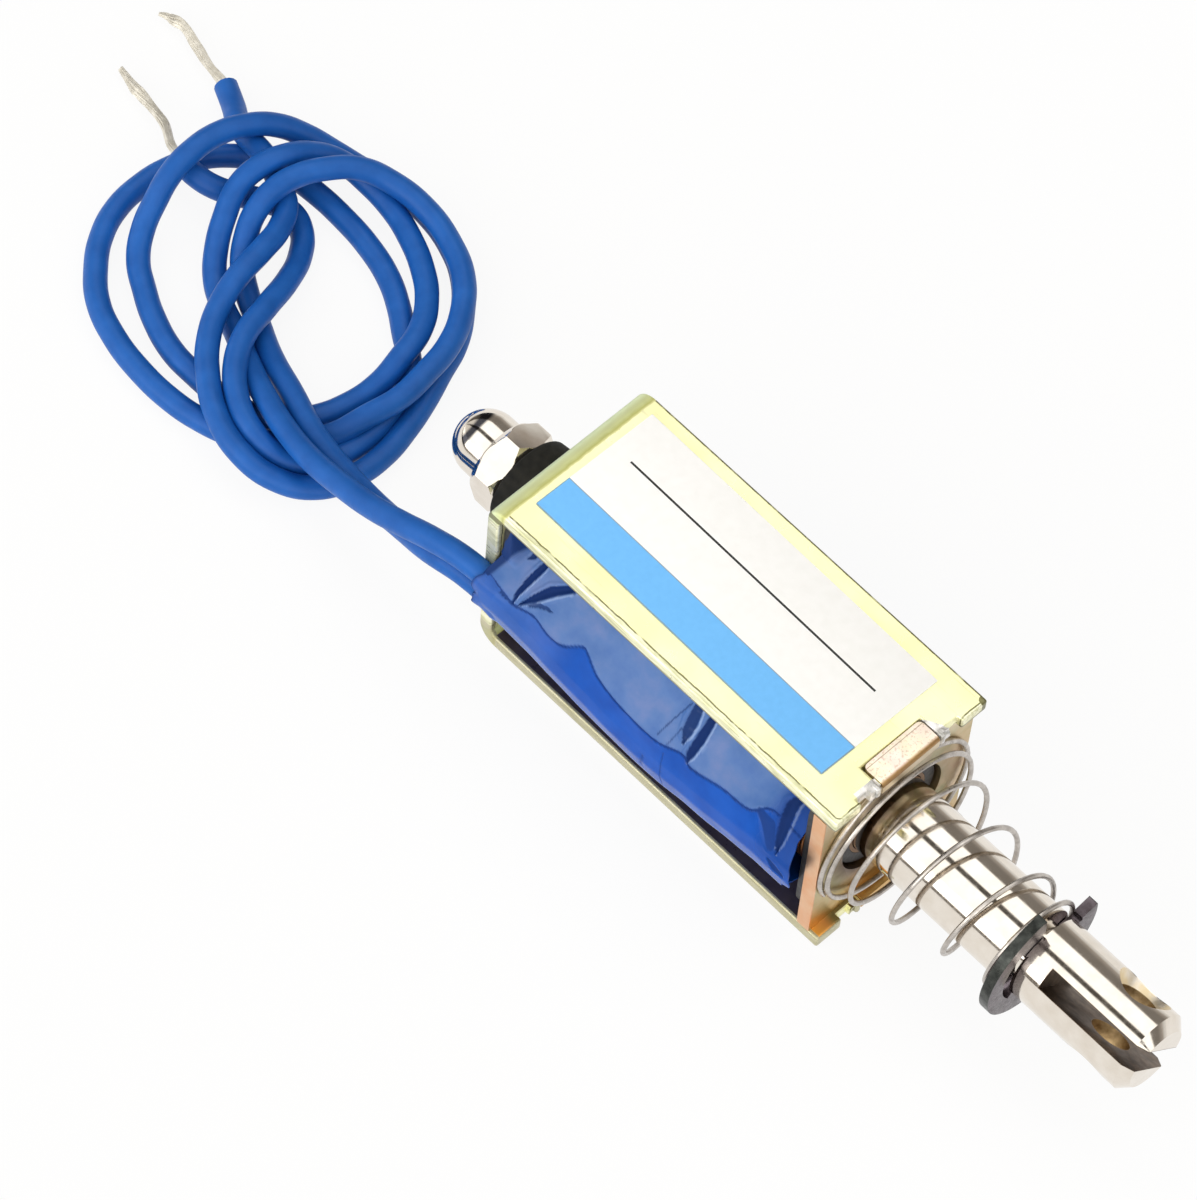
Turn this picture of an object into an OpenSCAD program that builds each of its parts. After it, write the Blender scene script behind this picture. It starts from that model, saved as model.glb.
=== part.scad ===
// Open-frame linear solenoid with a sprung clevis plunger, a push rod and two flying leads.
// X runs along the plunger towards the clevis, Z runs up through the label, and the
// underside of the frame lies on Z = 0. Sizes are in millimetres.

/* [Frame] */
// Length of the bent frame along the plunger
frame_len = 30; // [28:0.5:36]
// Width of the frame's sheet
frame_w = 12.8; // [12.4:0.2:16]
// Height over the two long plates
frame_h = 15.4; // [15:0.2:20]
// Thickness of the frame's sheet
sheet_t = 1; // [0.8:0.1:1.3]
// Outside radius of the two bends
bend_r = 1.5; // [1.4:0.1:2.5]
// Tapping diameter of the two base holes
base_hole_d = 2.5; // [2:0.1:3.3]
// Distance between the two base holes
base_hole_pitch = 20; // [12:1:22]

/* [Front plate] */
// Thickness of the front plate
plate_t = 1; // [0.8:0.1:1.5]
// Distance from the frame's front edge back to the plate
plate_setback = 0.8; // [0.6:0.1:1.5]
// Hole in the front plate
plate_hole_d = 8.4; // [8.2:0.1:9.5]
// Width of the tab at the plate's top and bottom
tab_w = 4.8; // [4:0.1:6]
// Width of the staking dent on each side of a tab
stake_w = 1.3; // [0.8:0.1:1.6]
// Depth of the staking dents and of the metal they push in front of a tab
stake_depth = 0.5; // [0.3:0.05:0.6]

/* [Bobbin and coil] */
// Thickness of each bobbin flange
flange_t = 0.8; // [0.5:0.1:1.2]
// Width of the bobbin flanges
flange_w = 11.8; // [11.4:0.1:12.2]
// Wall of the bobbin's tube
bobbin_wall = 0.5; // [0.4:0.05:0.6]
// Wall of the brass guide tube in the bobbin
guide_wall = 0.25; // [0.2:0.05:0.35]
// Outside diameter of the winding
winding_d = 11; // [9.5:0.1:11.2]
// Thickness of the blue tape around the winding
tape_t = 0.2; // [0.1:0.05:0.3]
// Length of the fixed core inside the bobbin
core_len = 6; // [4:0.5:8]
// Diameter of the core's riveted end in the rear plate
core_rivet_d = 5; // [4.4:0.1:5.4]

/* [Plunger] */
// Diameter of the plunger
plunger_d = 5.8; // [5:0.1:6]
// How far the plunger stands out of the frame at rest
plunger_reach = 21.4; // [20:0.2:26]
// Travel from rest to fully pulled in
stroke = 10; // [6:0.5:10]
// Bevel at the plunger's clevis end
nose_bevel = 0.7; // [0.3:0.1:1]
// Width of the clevis slot
slot_w = 1.5; // [1:0.1:2]
// Length of the clevis slot
slot_len = 7.6; // [6:0.2:9]
// Diameter of the clevis pin hole
pin_d = 2.8; // [2:0.1:3]
// Distance from the pin hole to the plunger's end
pin_from_end = 3.1; // [2.8:0.1:4]
// Width of the countersink around the pin hole
pin_sink = 0.4; // [0.2:0.05:0.5]
// Turn of the clevis slot about the plunger, from the +Y side
clevis_turn = 133; // [0:1:180]

/* [E-clip] */
// Distance from the clip's front face to the plunger's end
clip_from_end = 9.4; // [9.2:0.1:11]
// Thickness of the clip
clip_t = 0.7; // [0.5:0.05:0.9]
// Outside diameter of the clip
clip_d = 9.4; // [8.4:0.1:10]
// Diameter of the groove that holds the clip
groove_d = 4; // [3.5:0.1:4.5]
// Width of the clip's three lugs
lug_w = 1.7; // [1.2:0.1:2]
// Half angle of the clip's mouth
mouth_half = 42; // [30:1:45]
// Turn of the clip's mouth about the plunger, from the +Y side
clip_turn = 52; // [0:1:360]

/* [Return spring] */
// Diameter of the spring's wire
wire_d = 0.35; // [0.3:0.05:0.5]
// Outside diameter of the turn on the front plate
spring_base_d = 12.9; // [11.8:0.1:13]
// Outside diameter of the turn at the clip
spring_tip_d = 7.2; // [7.1:0.1:7.8]
// Number of turns
spring_turns = 5.5; // [4.5:0.25:6]

/* [Push rod and dome nut] */
// Diameter of the push rod
rod_d = 3; // [2.5:0.1:3.2]
// Depth of the rod's seat in the plunger
rod_seat = 4; // [3:0.5:6]
// Width of the nut across its flats
nut_af = 5.4; // [5:0.1:6]
// Height of the nut's hexagon
nut_hex_h = 2.2; // [1.8:0.1:2.6]
// Height of the whole nut
nut_h = 5.6; // [5.2:0.1:6.4]
// Diameter of the nut's dome
dome_d = 4.5; // [4.3:0.1:4.9]
// Turn of the nut's corners about the rod, from the +Y side
nut_turn = 33; // [0:1:60]
// Diameter of the rubber washer
washer_d = 6.6; // [6:0.1:8]
// Thickness of the rubber washer
washer_t = 3; // [2:0.1:3.5]

/* [Label] */
// Length of the label
label_len = 25; // [18:0.5:25.5]
// Width of the label
label_w = 9.7; // [6:0.1:10.5]
// Thickness of the label
label_t = 0.1; // [0.05:0.01:0.2]
// Bare frame between the rear bend and the label
label_gap = 2; // [1.8:0.1:3]
// How far the label is stuck on to the +Y side
label_shift = 0.4; // [0:0.1:0.6]
// How far the label is stuck on out of square
label_skew = -0.8; // [-2:0.1:2]

/* [Leads] */
// Diameter of a lead over its insulation
lead_d = 1.6; // [1.2:0.1:1.7]
// Diameter of a lead's bare tinned strands
strand_d = 0.9; // [0.6:0.05:1]
// Height of the hank of leads
hank_h = 4; // [3:0.1:4.1]

/* [Hidden] */
$fn = 48;

// Clearances: a sliding fit, a push-in fit, the play of flat pieces and the rod's room in the core
run_fit = 0.05;
press_fit = 0.02;
play = 0.05;
rod_room = 0.1;

// How far a cutter reaches past what it cuts
over = 1;

// Places along the plunger and the height of its axis
axis_z = frame_h / 2;
frame_front = frame_len / 2;
frame_rear = -frame_len / 2;
rear_inner = frame_rear + sheet_t;
plate_front = frame_front - plate_setback;
plate_back = plate_front - plate_t;
wound_rear = rear_inner + flange_t;
wound_front = plate_back - flange_t;
core_front = rear_inner + core_len;
end_gap = 0.2;
plunger_rear = core_front + stroke + end_gap;
plunger_front = frame_front + plunger_reach;
clip_front = plunger_front - clip_from_end;
clip_back = clip_front - clip_t;
washer_rear = frame_rear - washer_t;

// Radii that follow one another outwards from the plunger
plunger_r = plunger_d / 2;
guide_in = plunger_r + run_fit;
guide_out = guide_in + guide_wall;
bobbin_in = guide_out + press_fit;
bobbin_out = bobbin_in + bobbin_wall;
rod_hole_r = rod_d / 2 + rod_room;

// The bobbin: its flanges' corners, and its nose below the front plate's face
flange_corner_r = 1.2;
nose_recess = 0.4;

// The spring: where its first turn starts, how late its pitch opens, and its share of even pitch
first_turn = 204;
pitch_ease = 1.5;
even_pitch = 0.06;
rings_per_turn = 14;

// The clip: the room around the plunger, and the lugs' place behind the mouth
clip_relief = 0.5;
lug_behind_mouth = 20;

// The nut: its blind bore in the dome, and the rod's end in that bore
nut_bore = nut_hex_h + dome_d / 2;
rod_end_gap = 1;

// The leads: where they lie under the tape, their soldered ends, and their routes
lead_r = lead_d / 2;
lay_y = -6.6;
lay_low = 4.8;
lay_high = 7.9;
lay_slack = 0.25;
splice_len = 1.8;
splice_d = 1;
route_a = [[10, -6.6, 5.8], [5, -6.6, 5.2], [0, -6.6, 4.8], [-5, -6.6, 5.1], [-10, -6.6, 5.8],
    [-12.5, -6.8, 6.3], [-15.5, -7.3, 7], [-19, -7.4, 6.6], [-21.5, -7.8, 5.9], [-24, -8, 4.9],
    [-28, -7.1, 3.2], [-30, -6.8, 2.9]];
route_b = [[10, -6.6, 7.5], [5, -6.6, 6.9], [0, -6.6, 6.5], [-5, -6.6, 6.8], [-10, -6.6, 7.5],
    [-12.5, -6.8, 8], [-15.5, -7.3, 8.7], [-19, -6.8, 8.2], [-21.5, -6.6, 7.2], [-24, -6.4, 5.6],
    [-27, -5.8, 3.9], [-30, -5.2, 2.8]];
tip_a = [[-51, 7.6, 1.9], [-52, 8, 1.7], [-54.5, 9.1, 0.9], [-55.8, 9.5, 0.8]];
strand_route_a = [[-55.8, 9.5, 0.8], [-58, 9.9, 0.7], [-60.5, 10.1, 0.6], [-62.7, 10, 0.6]];
strand_route_b = [[-54, 2.9, 2.2], [-55.2, 3.8, 1.5], [-57, 4.6, 0.8], [-59.4, 5.2, 0.6],
    [-61.1, 5.2, 0.6]];

// The hank: its centre, its round ends with their distance apart, and its eye
hank_at = [-40.5, 1, 0];
hank_r = 11.4;
hank_spread = 2.9;
hank_eye_r = 4;

// Vector helpers
function unit(v) = v / norm(v);
function heading(route, i) = unit(route[min(i + 1, len(route) - 1)] - route[max(i - 1, 0)]);

// A cylinder, or a cone, along X from x0 to x1
module rod_x(x0, x1, r0, r1 = undef) {
    translate([x0, 0, axis_z]) rotate([0, 90, 0])
        cylinder(h = x1 - x0, r1 = r0, r2 = is_undef(r1) ? r0 : r1);
}

// A YZ outline about the plunger's axis, drawn out along X from x0 to x1
module extrude_x(x0, x1) {
    translate([x0, 0, axis_z]) rotate([90, 0, 90]) linear_extrude(x1 - x0) children();
}

// A rectangle with round corners, centred
module round_rect(w, h, r) {
    square([w - 2 * r, h], center = true);
    square([w, h - 2 * r], center = true);
    for (sx = [-1, 1], sy = [-1, 1]) translate([sx * (w / 2 - r), sy * (h / 2 - r)]) circle(r);
}

// A round tube swept along a route, with rings square to it
module sweep(route, r, up = [0, 0, 1], sides = 8) {
    step = 360 / sides;
    rings = [for (i = [0:len(route) - 1])
        let (t = heading(route, i), s = unit(cross(t, up)), u = cross(s, t))
        for (k = [0:sides - 1]) route[i] + r * (cos(step * k) * s + sin(step * k) * u)];
    last = (len(route) - 1) * sides;
    caps = [[for (k = [0:sides - 1]) k], [for (k = [sides - 1:-1:0]) last + k]];
    walls = [for (i = [0:len(route) - 2]) for (k = [0:sides - 1])
        let (a = i * sides + k, b = i * sides + (k + 1) % sides) [a, a + sides, b + sides, b]];
    polyhedron(rings, concat(caps, walls));
}

// One bent sheet: the label plate, the rear plate and the base plate
module frame_profile() {
    inner_r = bend_r - sheet_t;
    difference() {
        union() {
            translate([frame_rear + bend_r, 0]) square([frame_len - bend_r, frame_h]);
            translate([frame_rear, bend_r]) square([bend_r, frame_h - 2 * bend_r]);
            for (z = [bend_r, frame_h - bend_r]) translate([frame_rear + bend_r, z]) circle(bend_r);
        }
        translate([rear_inner + inner_r, sheet_t]) square([frame_len + over, frame_h - 2 * sheet_t]);
        translate([rear_inner, bend_r]) square([inner_r + over, frame_h - 2 * bend_r]);
        for (z = [bend_r, frame_h - bend_r]) translate([frame_rear + bend_r, z]) circle(inner_r);
    }
}

module frame() {
    notch_w = tab_w + 2 * play;
    stake_y = notch_w / 2 + stake_depth + stake_w / 2;
    notch_len = plate_t + plate_setback + over;
    color([0.93, 0.91, 0.68]) {
        difference() {
            rotate([90, 0, 0]) linear_extrude(frame_w, center = true) frame_profile();
            for (z = [-over, frame_h - sheet_t]) {
                translate([plate_back, -notch_w / 2, z]) cube([notch_len, notch_w, sheet_t + over]);
                for (side = [-1, 1])
                    translate([frame_front - stake_depth, side * stake_y - stake_w / 2, z])
                        cube([stake_depth + over, stake_w, sheet_t + over]);
            }
            rod_x(frame_rear - over, rear_inner + over, core_rivet_d / 2);
            for (side = [-1, 1]) translate([side * base_hole_pitch / 2, 0, -over])
                cylinder(h = sheet_t + 2 * over, d = base_hole_d);
        }
        // Metal staked in front of the tabs
        for (z = [0, frame_h - sheet_t], side = [-1, 1])
            translate([plate_front, side * notch_w / 2 - stake_depth / 2, z])
                cube([stake_depth, stake_depth, sheet_t]);
    }
}

module front_plate() {
    color([0.86, 0.74, 0.58]) difference() {
        union() {
            translate([plate_back, -frame_w / 2, sheet_t]) cube([plate_t, frame_w, frame_h - 2 * sheet_t]);
            translate([plate_back, -tab_w / 2, 0]) cube([plate_t, tab_w, frame_h]);
        }
        rod_x(plate_back - over, plate_front + over, plate_hole_d / 2);
    }
}

// The pole piece, riveted into the rear plate
module fixed_core() {
    color([0.7, 0.7, 0.7]) difference() {
        union() {
            rod_x(rear_inner, core_front, guide_in - press_fit);
            rod_x(frame_rear, rear_inner + over, core_rivet_d / 2);
        }
        rod_x(frame_rear - over, core_front + over, rod_hole_r);
    }
}

module bobbin() {
    flange_h = frame_h - 2 * bend_r - 2 * play;
    color([0.1, 0.1, 0.11]) difference() {
        union() {
            rod_x(rear_inner, plate_back, bobbin_out);
            rod_x(plate_back - flange_t, plate_front - nose_recess, plate_hole_d / 2 - play);
            for (x = [rear_inner, wound_front]) extrude_x(x, x + flange_t)
                round_rect(flange_w, flange_h, flange_corner_r);
        }
        rod_x(rear_inner - over, plate_front + over, bobbin_in);
    }
}

module guide_tube() {
    color([0.8, 0.62, 0.3]) difference() {
        rod_x(rear_inner, plate_front - nose_recess, guide_out);
        rod_x(rear_inner - over, plate_front + over, guide_in);
    }
}

module coil_winding() {
    color([0.72, 0.4, 0.2]) difference() {
        rod_x(wound_rear, wound_front, winding_d / 2);
        rod_x(wound_rear - over, wound_front + over, bobbin_out + press_fit);
    }
}

// The outline around the winding and the leads that lie on its side
module wrap_outline(grow) {
    hull() {
        circle(winding_d / 2 + grow);
        for (z = [lay_low, lay_high])
            translate([lay_y, z - axis_z]) circle(lead_r + lay_slack + grow);
    }
}

module tape_wrap() {
    color([0.25, 0.42, 0.8]) extrude_x(wound_rear, wound_front) difference() {
        wrap_outline(play + tape_t);
        wrap_outline(play);
    }
}

module label() {
    label_x = frame_rear + label_gap + label_len / 2;
    color("white") translate([label_x, label_shift, frame_h + label_t / 2]) rotate(label_skew)
        cube([label_len, label_w, label_t], center = true);
}

// Conical helix with closed ends, from the front plate to the clip
function ease(u) = u * u * (3 - 2 * u);
function spring_share(u) = even_pitch * u + (1 - even_pitch) * ease(pow(u, pitch_ease));
function spring_x(u) = plate_front + wire_d / 2 + spring_share(u) * (clip_back - plate_front - wire_d);
function spring_d(u) = spring_base_d + (spring_tip_d - spring_base_d) * ease(u);
function spring_r(u) = (spring_d(u) - wire_d) / 2;

module return_spring() {
    rings = round(spring_turns * rings_per_turn);
    helix = [for (i = [0:rings]) let (u = i / rings, a = first_turn - 360 * spring_turns * u)
        [spring_x(u), spring_r(u) * cos(a), axis_z + spring_r(u) * sin(a)]];
    color([0.5, 0.48, 0.45]) sweep(helix, wire_d / 2, up = [1, 0, 0]);
}

// Soldered ends of the winding, under the tape in line with the leads
module splice(tail) {
    color([0.75, 0.75, 0.72]) translate(tail) rotate([0, 90, 0])
        cylinder(h = splice_len, d = splice_d);
}

module splice_a() splice(route_a[0]);
module splice_b() splice(route_b[0]);

module lead_a() color([0.13, 0.38, 0.78]) {
    sweep(route_a, lead_r);
    sweep(tip_a, lead_r);
}

module lead_b() color([0.13, 0.38, 0.78]) sweep(route_b, lead_r);

// Outer shape of the loose turns into which both leads are tied
module lead_hank() {
    color([0.13, 0.38, 0.78]) translate(hank_at) linear_extrude(hank_h) difference() {
        union() {
            square([2 * hank_spread, 2 * hank_r], center = true);
            for (side = [-1, 1]) translate([side * hank_spread, 0]) circle(hank_r);
        }
        circle(hank_eye_r);
    }
}

module bare_end_a() color([0.72, 0.7, 0.64]) sweep(strand_route_a, strand_d / 2);
module bare_end_b() color([0.72, 0.7, 0.64]) sweep(strand_route_b, strand_d / 2);

// Flat ring with three lugs in the plunger's groove and a mouth on one side
module clip_outline() {
    relief_r = plunger_r + clip_relief;
    lug_turn = mouth_half + lug_behind_mouth;
    difference() {
        circle(d = clip_d);
        difference() {
            circle(relief_r);
            for (a = [180, lug_turn, -lug_turn]) rotate(a)
                translate([0, -lug_w / 2]) square([relief_r + over, lug_w]);
        }
        circle(groove_d / 2 + run_fit);
        polygon([[0, 0], for (a = [mouth_half, -mouth_half]) clip_d * [cos(a), sin(a)]]);
    }
}

module e_clip() {
    color([0.16, 0.15, 0.15]) extrude_x(clip_back, clip_front) rotate(clip_turn) clip_outline();
}

module plunger() {
    color([0.85, 0.83, 0.8]) difference() {
        union() {
            rod_x(plunger_rear, plunger_front - nose_bevel, plunger_r);
            rod_x(plunger_front - nose_bevel, plunger_front, plunger_r, plunger_r - nose_bevel);
        }
        difference() {
            rod_x(clip_back - play, clip_front + play, plunger_r + over);
            rod_x(clip_back - over, clip_front + over, groove_d / 2);
        }
        rod_x(plunger_rear - over, plunger_rear + rod_seat, rod_d / 2 + press_fit);
        translate([plunger_front, 0, axis_z]) rotate([clevis_turn, 0, 0]) {
            translate([-slot_len, -plunger_d, -slot_w / 2])
                cube([slot_len + over, 2 * plunger_d, slot_w]);
            translate([-pin_from_end, 0, -plunger_d]) cylinder(h = 2 * plunger_d, d = pin_d);
            for (turn = [0, 180]) rotate([turn, 0, 0])
                translate([-pin_from_end, 0, plunger_r - pin_sink])
                    cylinder(h = 2 * pin_sink, r1 = pin_d / 2, r2 = pin_d / 2 + 2 * pin_sink);
        }
    }
}

module push_rod() {
    color([0.8, 0.8, 0.78])
        rod_x(washer_rear - nut_bore + rod_end_gap, plunger_rear + rod_seat - play, rod_d / 2);
}

// Hexagon with turned corners under a round dome
module dome_nut() {
    corner_r = nut_af / 2 / cos(30);
    dome_r = dome_d / 2;
    dome_x = washer_rear - nut_h + dome_r;
    hex_rear = washer_rear - nut_hex_h;
    flat_r = nut_af / 2;
    color([0.88, 0.86, 0.84]) difference() {
        union() {
            intersection() {
                extrude_x(hex_rear, washer_rear) rotate(nut_turn) circle(r = corner_r, $fn = 6);
                rod_x(hex_rear, washer_rear, flat_r, flat_r + nut_hex_h);
                rod_x(hex_rear, washer_rear, flat_r + nut_hex_h, flat_r);
            }
            rod_x(dome_x, washer_rear - nut_hex_h / 2, dome_r);
            translate([dome_x, 0, axis_z]) sphere(dome_r);
        }
        rod_x(washer_rear - nut_bore, washer_rear + over, rod_d / 2 + press_fit);
    }
}

module rubber_washer() {
    color([0.09, 0.09, 0.09]) difference() {
        rod_x(washer_rear, frame_rear, washer_d / 2);
        rod_x(washer_rear - over, frame_rear + over, rod_d / 2 + press_fit);
    }
}

frame();
front_plate();
fixed_core();
bobbin();
guide_tube();
coil_winding();
tape_wrap();
label();
return_spring();
splice_a();
splice_b();
lead_a();
lead_b();
lead_hank();
bare_end_a();
bare_end_b();
e_clip();
plunger();
push_rod();
dome_nut();
rubber_washer();
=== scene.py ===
"""Open-frame linear solenoid: plated frame, taped coil, sprung clevis plunger and two flying leads.

Pieces are modelled in millimetres about the part's own origin, and brought to metres when they are finished.
"""
import math
from functools import partialmethod

import bmesh
import bpy
from mathutils import Matrix, Vector, noise


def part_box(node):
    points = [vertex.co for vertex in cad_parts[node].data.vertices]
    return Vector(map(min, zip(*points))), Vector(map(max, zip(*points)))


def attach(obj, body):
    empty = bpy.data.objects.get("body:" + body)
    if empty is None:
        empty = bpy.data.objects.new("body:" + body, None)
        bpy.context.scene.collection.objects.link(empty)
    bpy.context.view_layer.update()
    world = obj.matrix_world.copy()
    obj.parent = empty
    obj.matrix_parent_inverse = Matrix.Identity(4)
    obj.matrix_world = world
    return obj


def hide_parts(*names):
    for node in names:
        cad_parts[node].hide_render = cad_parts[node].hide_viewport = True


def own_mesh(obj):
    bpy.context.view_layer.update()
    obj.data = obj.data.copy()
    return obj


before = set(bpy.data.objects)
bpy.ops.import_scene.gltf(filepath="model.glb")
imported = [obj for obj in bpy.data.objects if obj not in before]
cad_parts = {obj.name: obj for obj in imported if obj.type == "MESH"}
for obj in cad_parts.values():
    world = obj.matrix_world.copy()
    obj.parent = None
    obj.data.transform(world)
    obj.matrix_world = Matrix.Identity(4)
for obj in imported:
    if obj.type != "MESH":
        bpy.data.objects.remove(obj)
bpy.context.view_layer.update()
# Vector noise is otherwise seeded by the clock
noise.seed_set(4)

MM = 0.001
weld_gap = 0.0005


def node_box(name):
    """Lowest and highest corners of a CAD node, in millimetres."""
    low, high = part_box(name)
    return low / MM, high / MM


# Places that the frame gives
frame_low, frame_high = node_box("frame")
plate_low, plate_high = node_box("front_plate")
plunger_low, plunger_high = node_box("plunger")
clip_low, clip_high = node_box("e_clip")
nut_low, nut_high = node_box("dome_nut")
washer_low, washer_high = node_box("rubber_washer")
bobbin_low, bobbin_high = node_box("bobbin")
winding_low, winding_high = node_box("coil_winding")
axis_z = frame_high.z / 2

# Sizes of the sheet metal
sheet_t = 1
bend_r = 1.5
tab_w = 4.8
tab_corner_r = 0.35
tab_lip = 0.75
tab_lip_r = 0.3
tab_gap = 0.08
stake_w = 1.3
stake_depth = 0.5
plate_hole_r = 4.2
play = 0.05
base_hole_d = 2.5
base_hole_pitch = 20
rivet_hole_d = 5
frame_edge_r = 0.22
plate_edge_r = 0.12
# Sheet metal crushed over a tab: its corners in (x, y), and how far it stays inside the sheet
right_lump = ((13.3, 2.45), (14.85, 3.4))
left_lump = ((14.2, -3.3), (14.8, -2.45))
lump_inset = 0.06
lump_crush = 0.16

# Sizes of the turned pieces
plunger_r = (plunger_high.z - plunger_low.z) / 2
groove_r = 2
nose_bevel = 0.7
slot_w = 1.5
slot_len = 7.6
pin_d = 2.8
pin_from_end = 3.1
pin_sink = 0.55
pin_sink_depth = 0.9
clevis_turn = 133
rod_r = 1.5
nut_af = 5.4
nut_hex_h = 2.2
dome_r = 2.25
nut_turn = 33
washer_r = (washer_high.z - washer_low.z) / 2
washer_rim_r = 0.35
washer_bulge = 0.12
plunger_edge_r = 0.045
nut_edge_r = 0.05

# Sizes of the bobbin
flange_t = 0.8
flange_corner_r = 1.2
bobbin_bore_r = 3.22
nose_r = 4.15
nose_edge = 0.15
tube_t = 0.45
flange_edge_r = 0.1

# Sizes of the clip and the spring
clip_r = 4.7
clip_turn = 52
clip_relief = 0.5
mouth_half = 42
lug_w = 1.7
lug_behind_mouth = 20
wire_r = 0.175
spring_base_d = 12.9
spring_tip_d = 7.2
spring_turns = 5.5
first_turn = 204
pitch_ease = 1.5
even_pitch = 0.06
spring_hook = 45
clip_edge_r = 0.09

# Sizes of the label
label_len = 25
label_w = 9.7
label_t = 0.1
label_at = (-0.5, 0.4)
label_skew = -0.8
label_corner_r = 0.08
label_edge_r = 0.03

# Sizes of the leads
lead_r = 0.8
strand_count = 9
strand_r = 0.14
strand_lowest = 0.16

# Sizes of the tape: the film's thickness, its outside over the winding, over a lead, between the leads
# and on the crease, and the millimetres of a degree round it
film_t = 0.1
film_coil_r = 5.75
film_lead_r = 0.95
film_between_r = 1.09
film_crease_r = 0.06
fold_mm = 0.115

# The leads' routes: under the tape, out past the rear plate, and through the loose tied turns
LEAD_A = [
    (10, -6.6, 7.9), (5, -6.6, 7.1), (0, -6.6, 6.5), (-5, -6.6, 6.8), (-10, -6.6, 7.5), (-12.5, -6.9, 8.3),
    (-15.5, -7.3, 9), (-18.3, -7.6, 8.5), (-20.8, -7.8, 7.5), (-23.5, -7.8, 6.2), (-26.5, -7.6, 5),
    (-29.5, -7.3, 4), (-32.2, -6.7, 3.2), (-35.4, -5.7, 2.5), (-38.6, -4.3, 1.5), (-41.2, -3, 0.8),
    (-43.2, -2.3, 0.8), (-45, -1.3, 0.9), (-46.3, 0, 1.6), (-47.3, 1.6, 2.5), (-48, 3.3, 3.3),
    (-48, 5, 3.9), (-47.5, 7, 3.9), (-46.8, 8.8, 3.2), (-45.5, 10.1, 2.4), (-43.5, 10.6, 1.7),
    (-41, 10.5, 1.4), (-38.6, 9.8, 1.5), (-36.3, 8.7, 1.7), (-34.4, 7.3, 1.9), (-32.8, 5.2, 2.2),
    (-32.1, 2.9, 2.2), (-31.9, 0.7, 1.5), (-32.3, -1.6, 1), (-33.2, -3.8, 0.8), (-34.5, -5.5, 0.8),
    (-36.4, -6.6, 0.8), (-38.4, -7, 0.8), (-40.5, -7.1, 0.8), (-42.7, -7, 0.8), (-45.4, -6.2, 0.8),
    (-47.4, -5.2, 0.8), (-49.2, -4.1, 1.1), (-50.4, -2.6, 1.8), (-51, -1, 2.8), (-51.4, 0.7, 3.8),
    (-51.6, 2.7, 4.2), (-51.5, 5, 4.1), (-50.9, 6.9, 3.8), (-50, 8.6, 3.1), (-48.6, 10, 2),
    (-47, 10.9, 1.1), (-44.9, 11.5, 0.8), (-42.5, 12.1, 0.8), (-39.6, 12.2, 0.8), (-36.7, 11.6, 0.8),
    (-34.3, 10.4, 0.8), (-32.6, 8.8, 0.8), (-31.1, 6.8, 0.8), (-30.2, 4.6, 0.8), (-29.3, 2.4, 0.8),
    (-28.6, 0.2, 0.8), (-28.1, -2.2, 0.8), (-28.2, -4.7, 0.8), (-29.1, -7.1, 0.9), (-31.1, -8.9, 1.5),
    (-33.7, -9.5, 2.2), (-36.6, -8.8, 2.4), (-39.2, -7.2, 2.5), (-41.2, -5.3, 2.4), (-42.5, -3.2, 2.5),
    (-43.2, -0.9, 2.9), (-43.7, 1.6, 2.8), (-44.3, 3.6, 2.5), (-45.3, 5.1, 2.4), (-46.7, 5.9, 2.4),
    (-48.7, 6.6, 2.5), (-52.2, 7.4, 1.7), (-54, 8.5, 1), (-55.6, 9.3, 0.8)]
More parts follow.
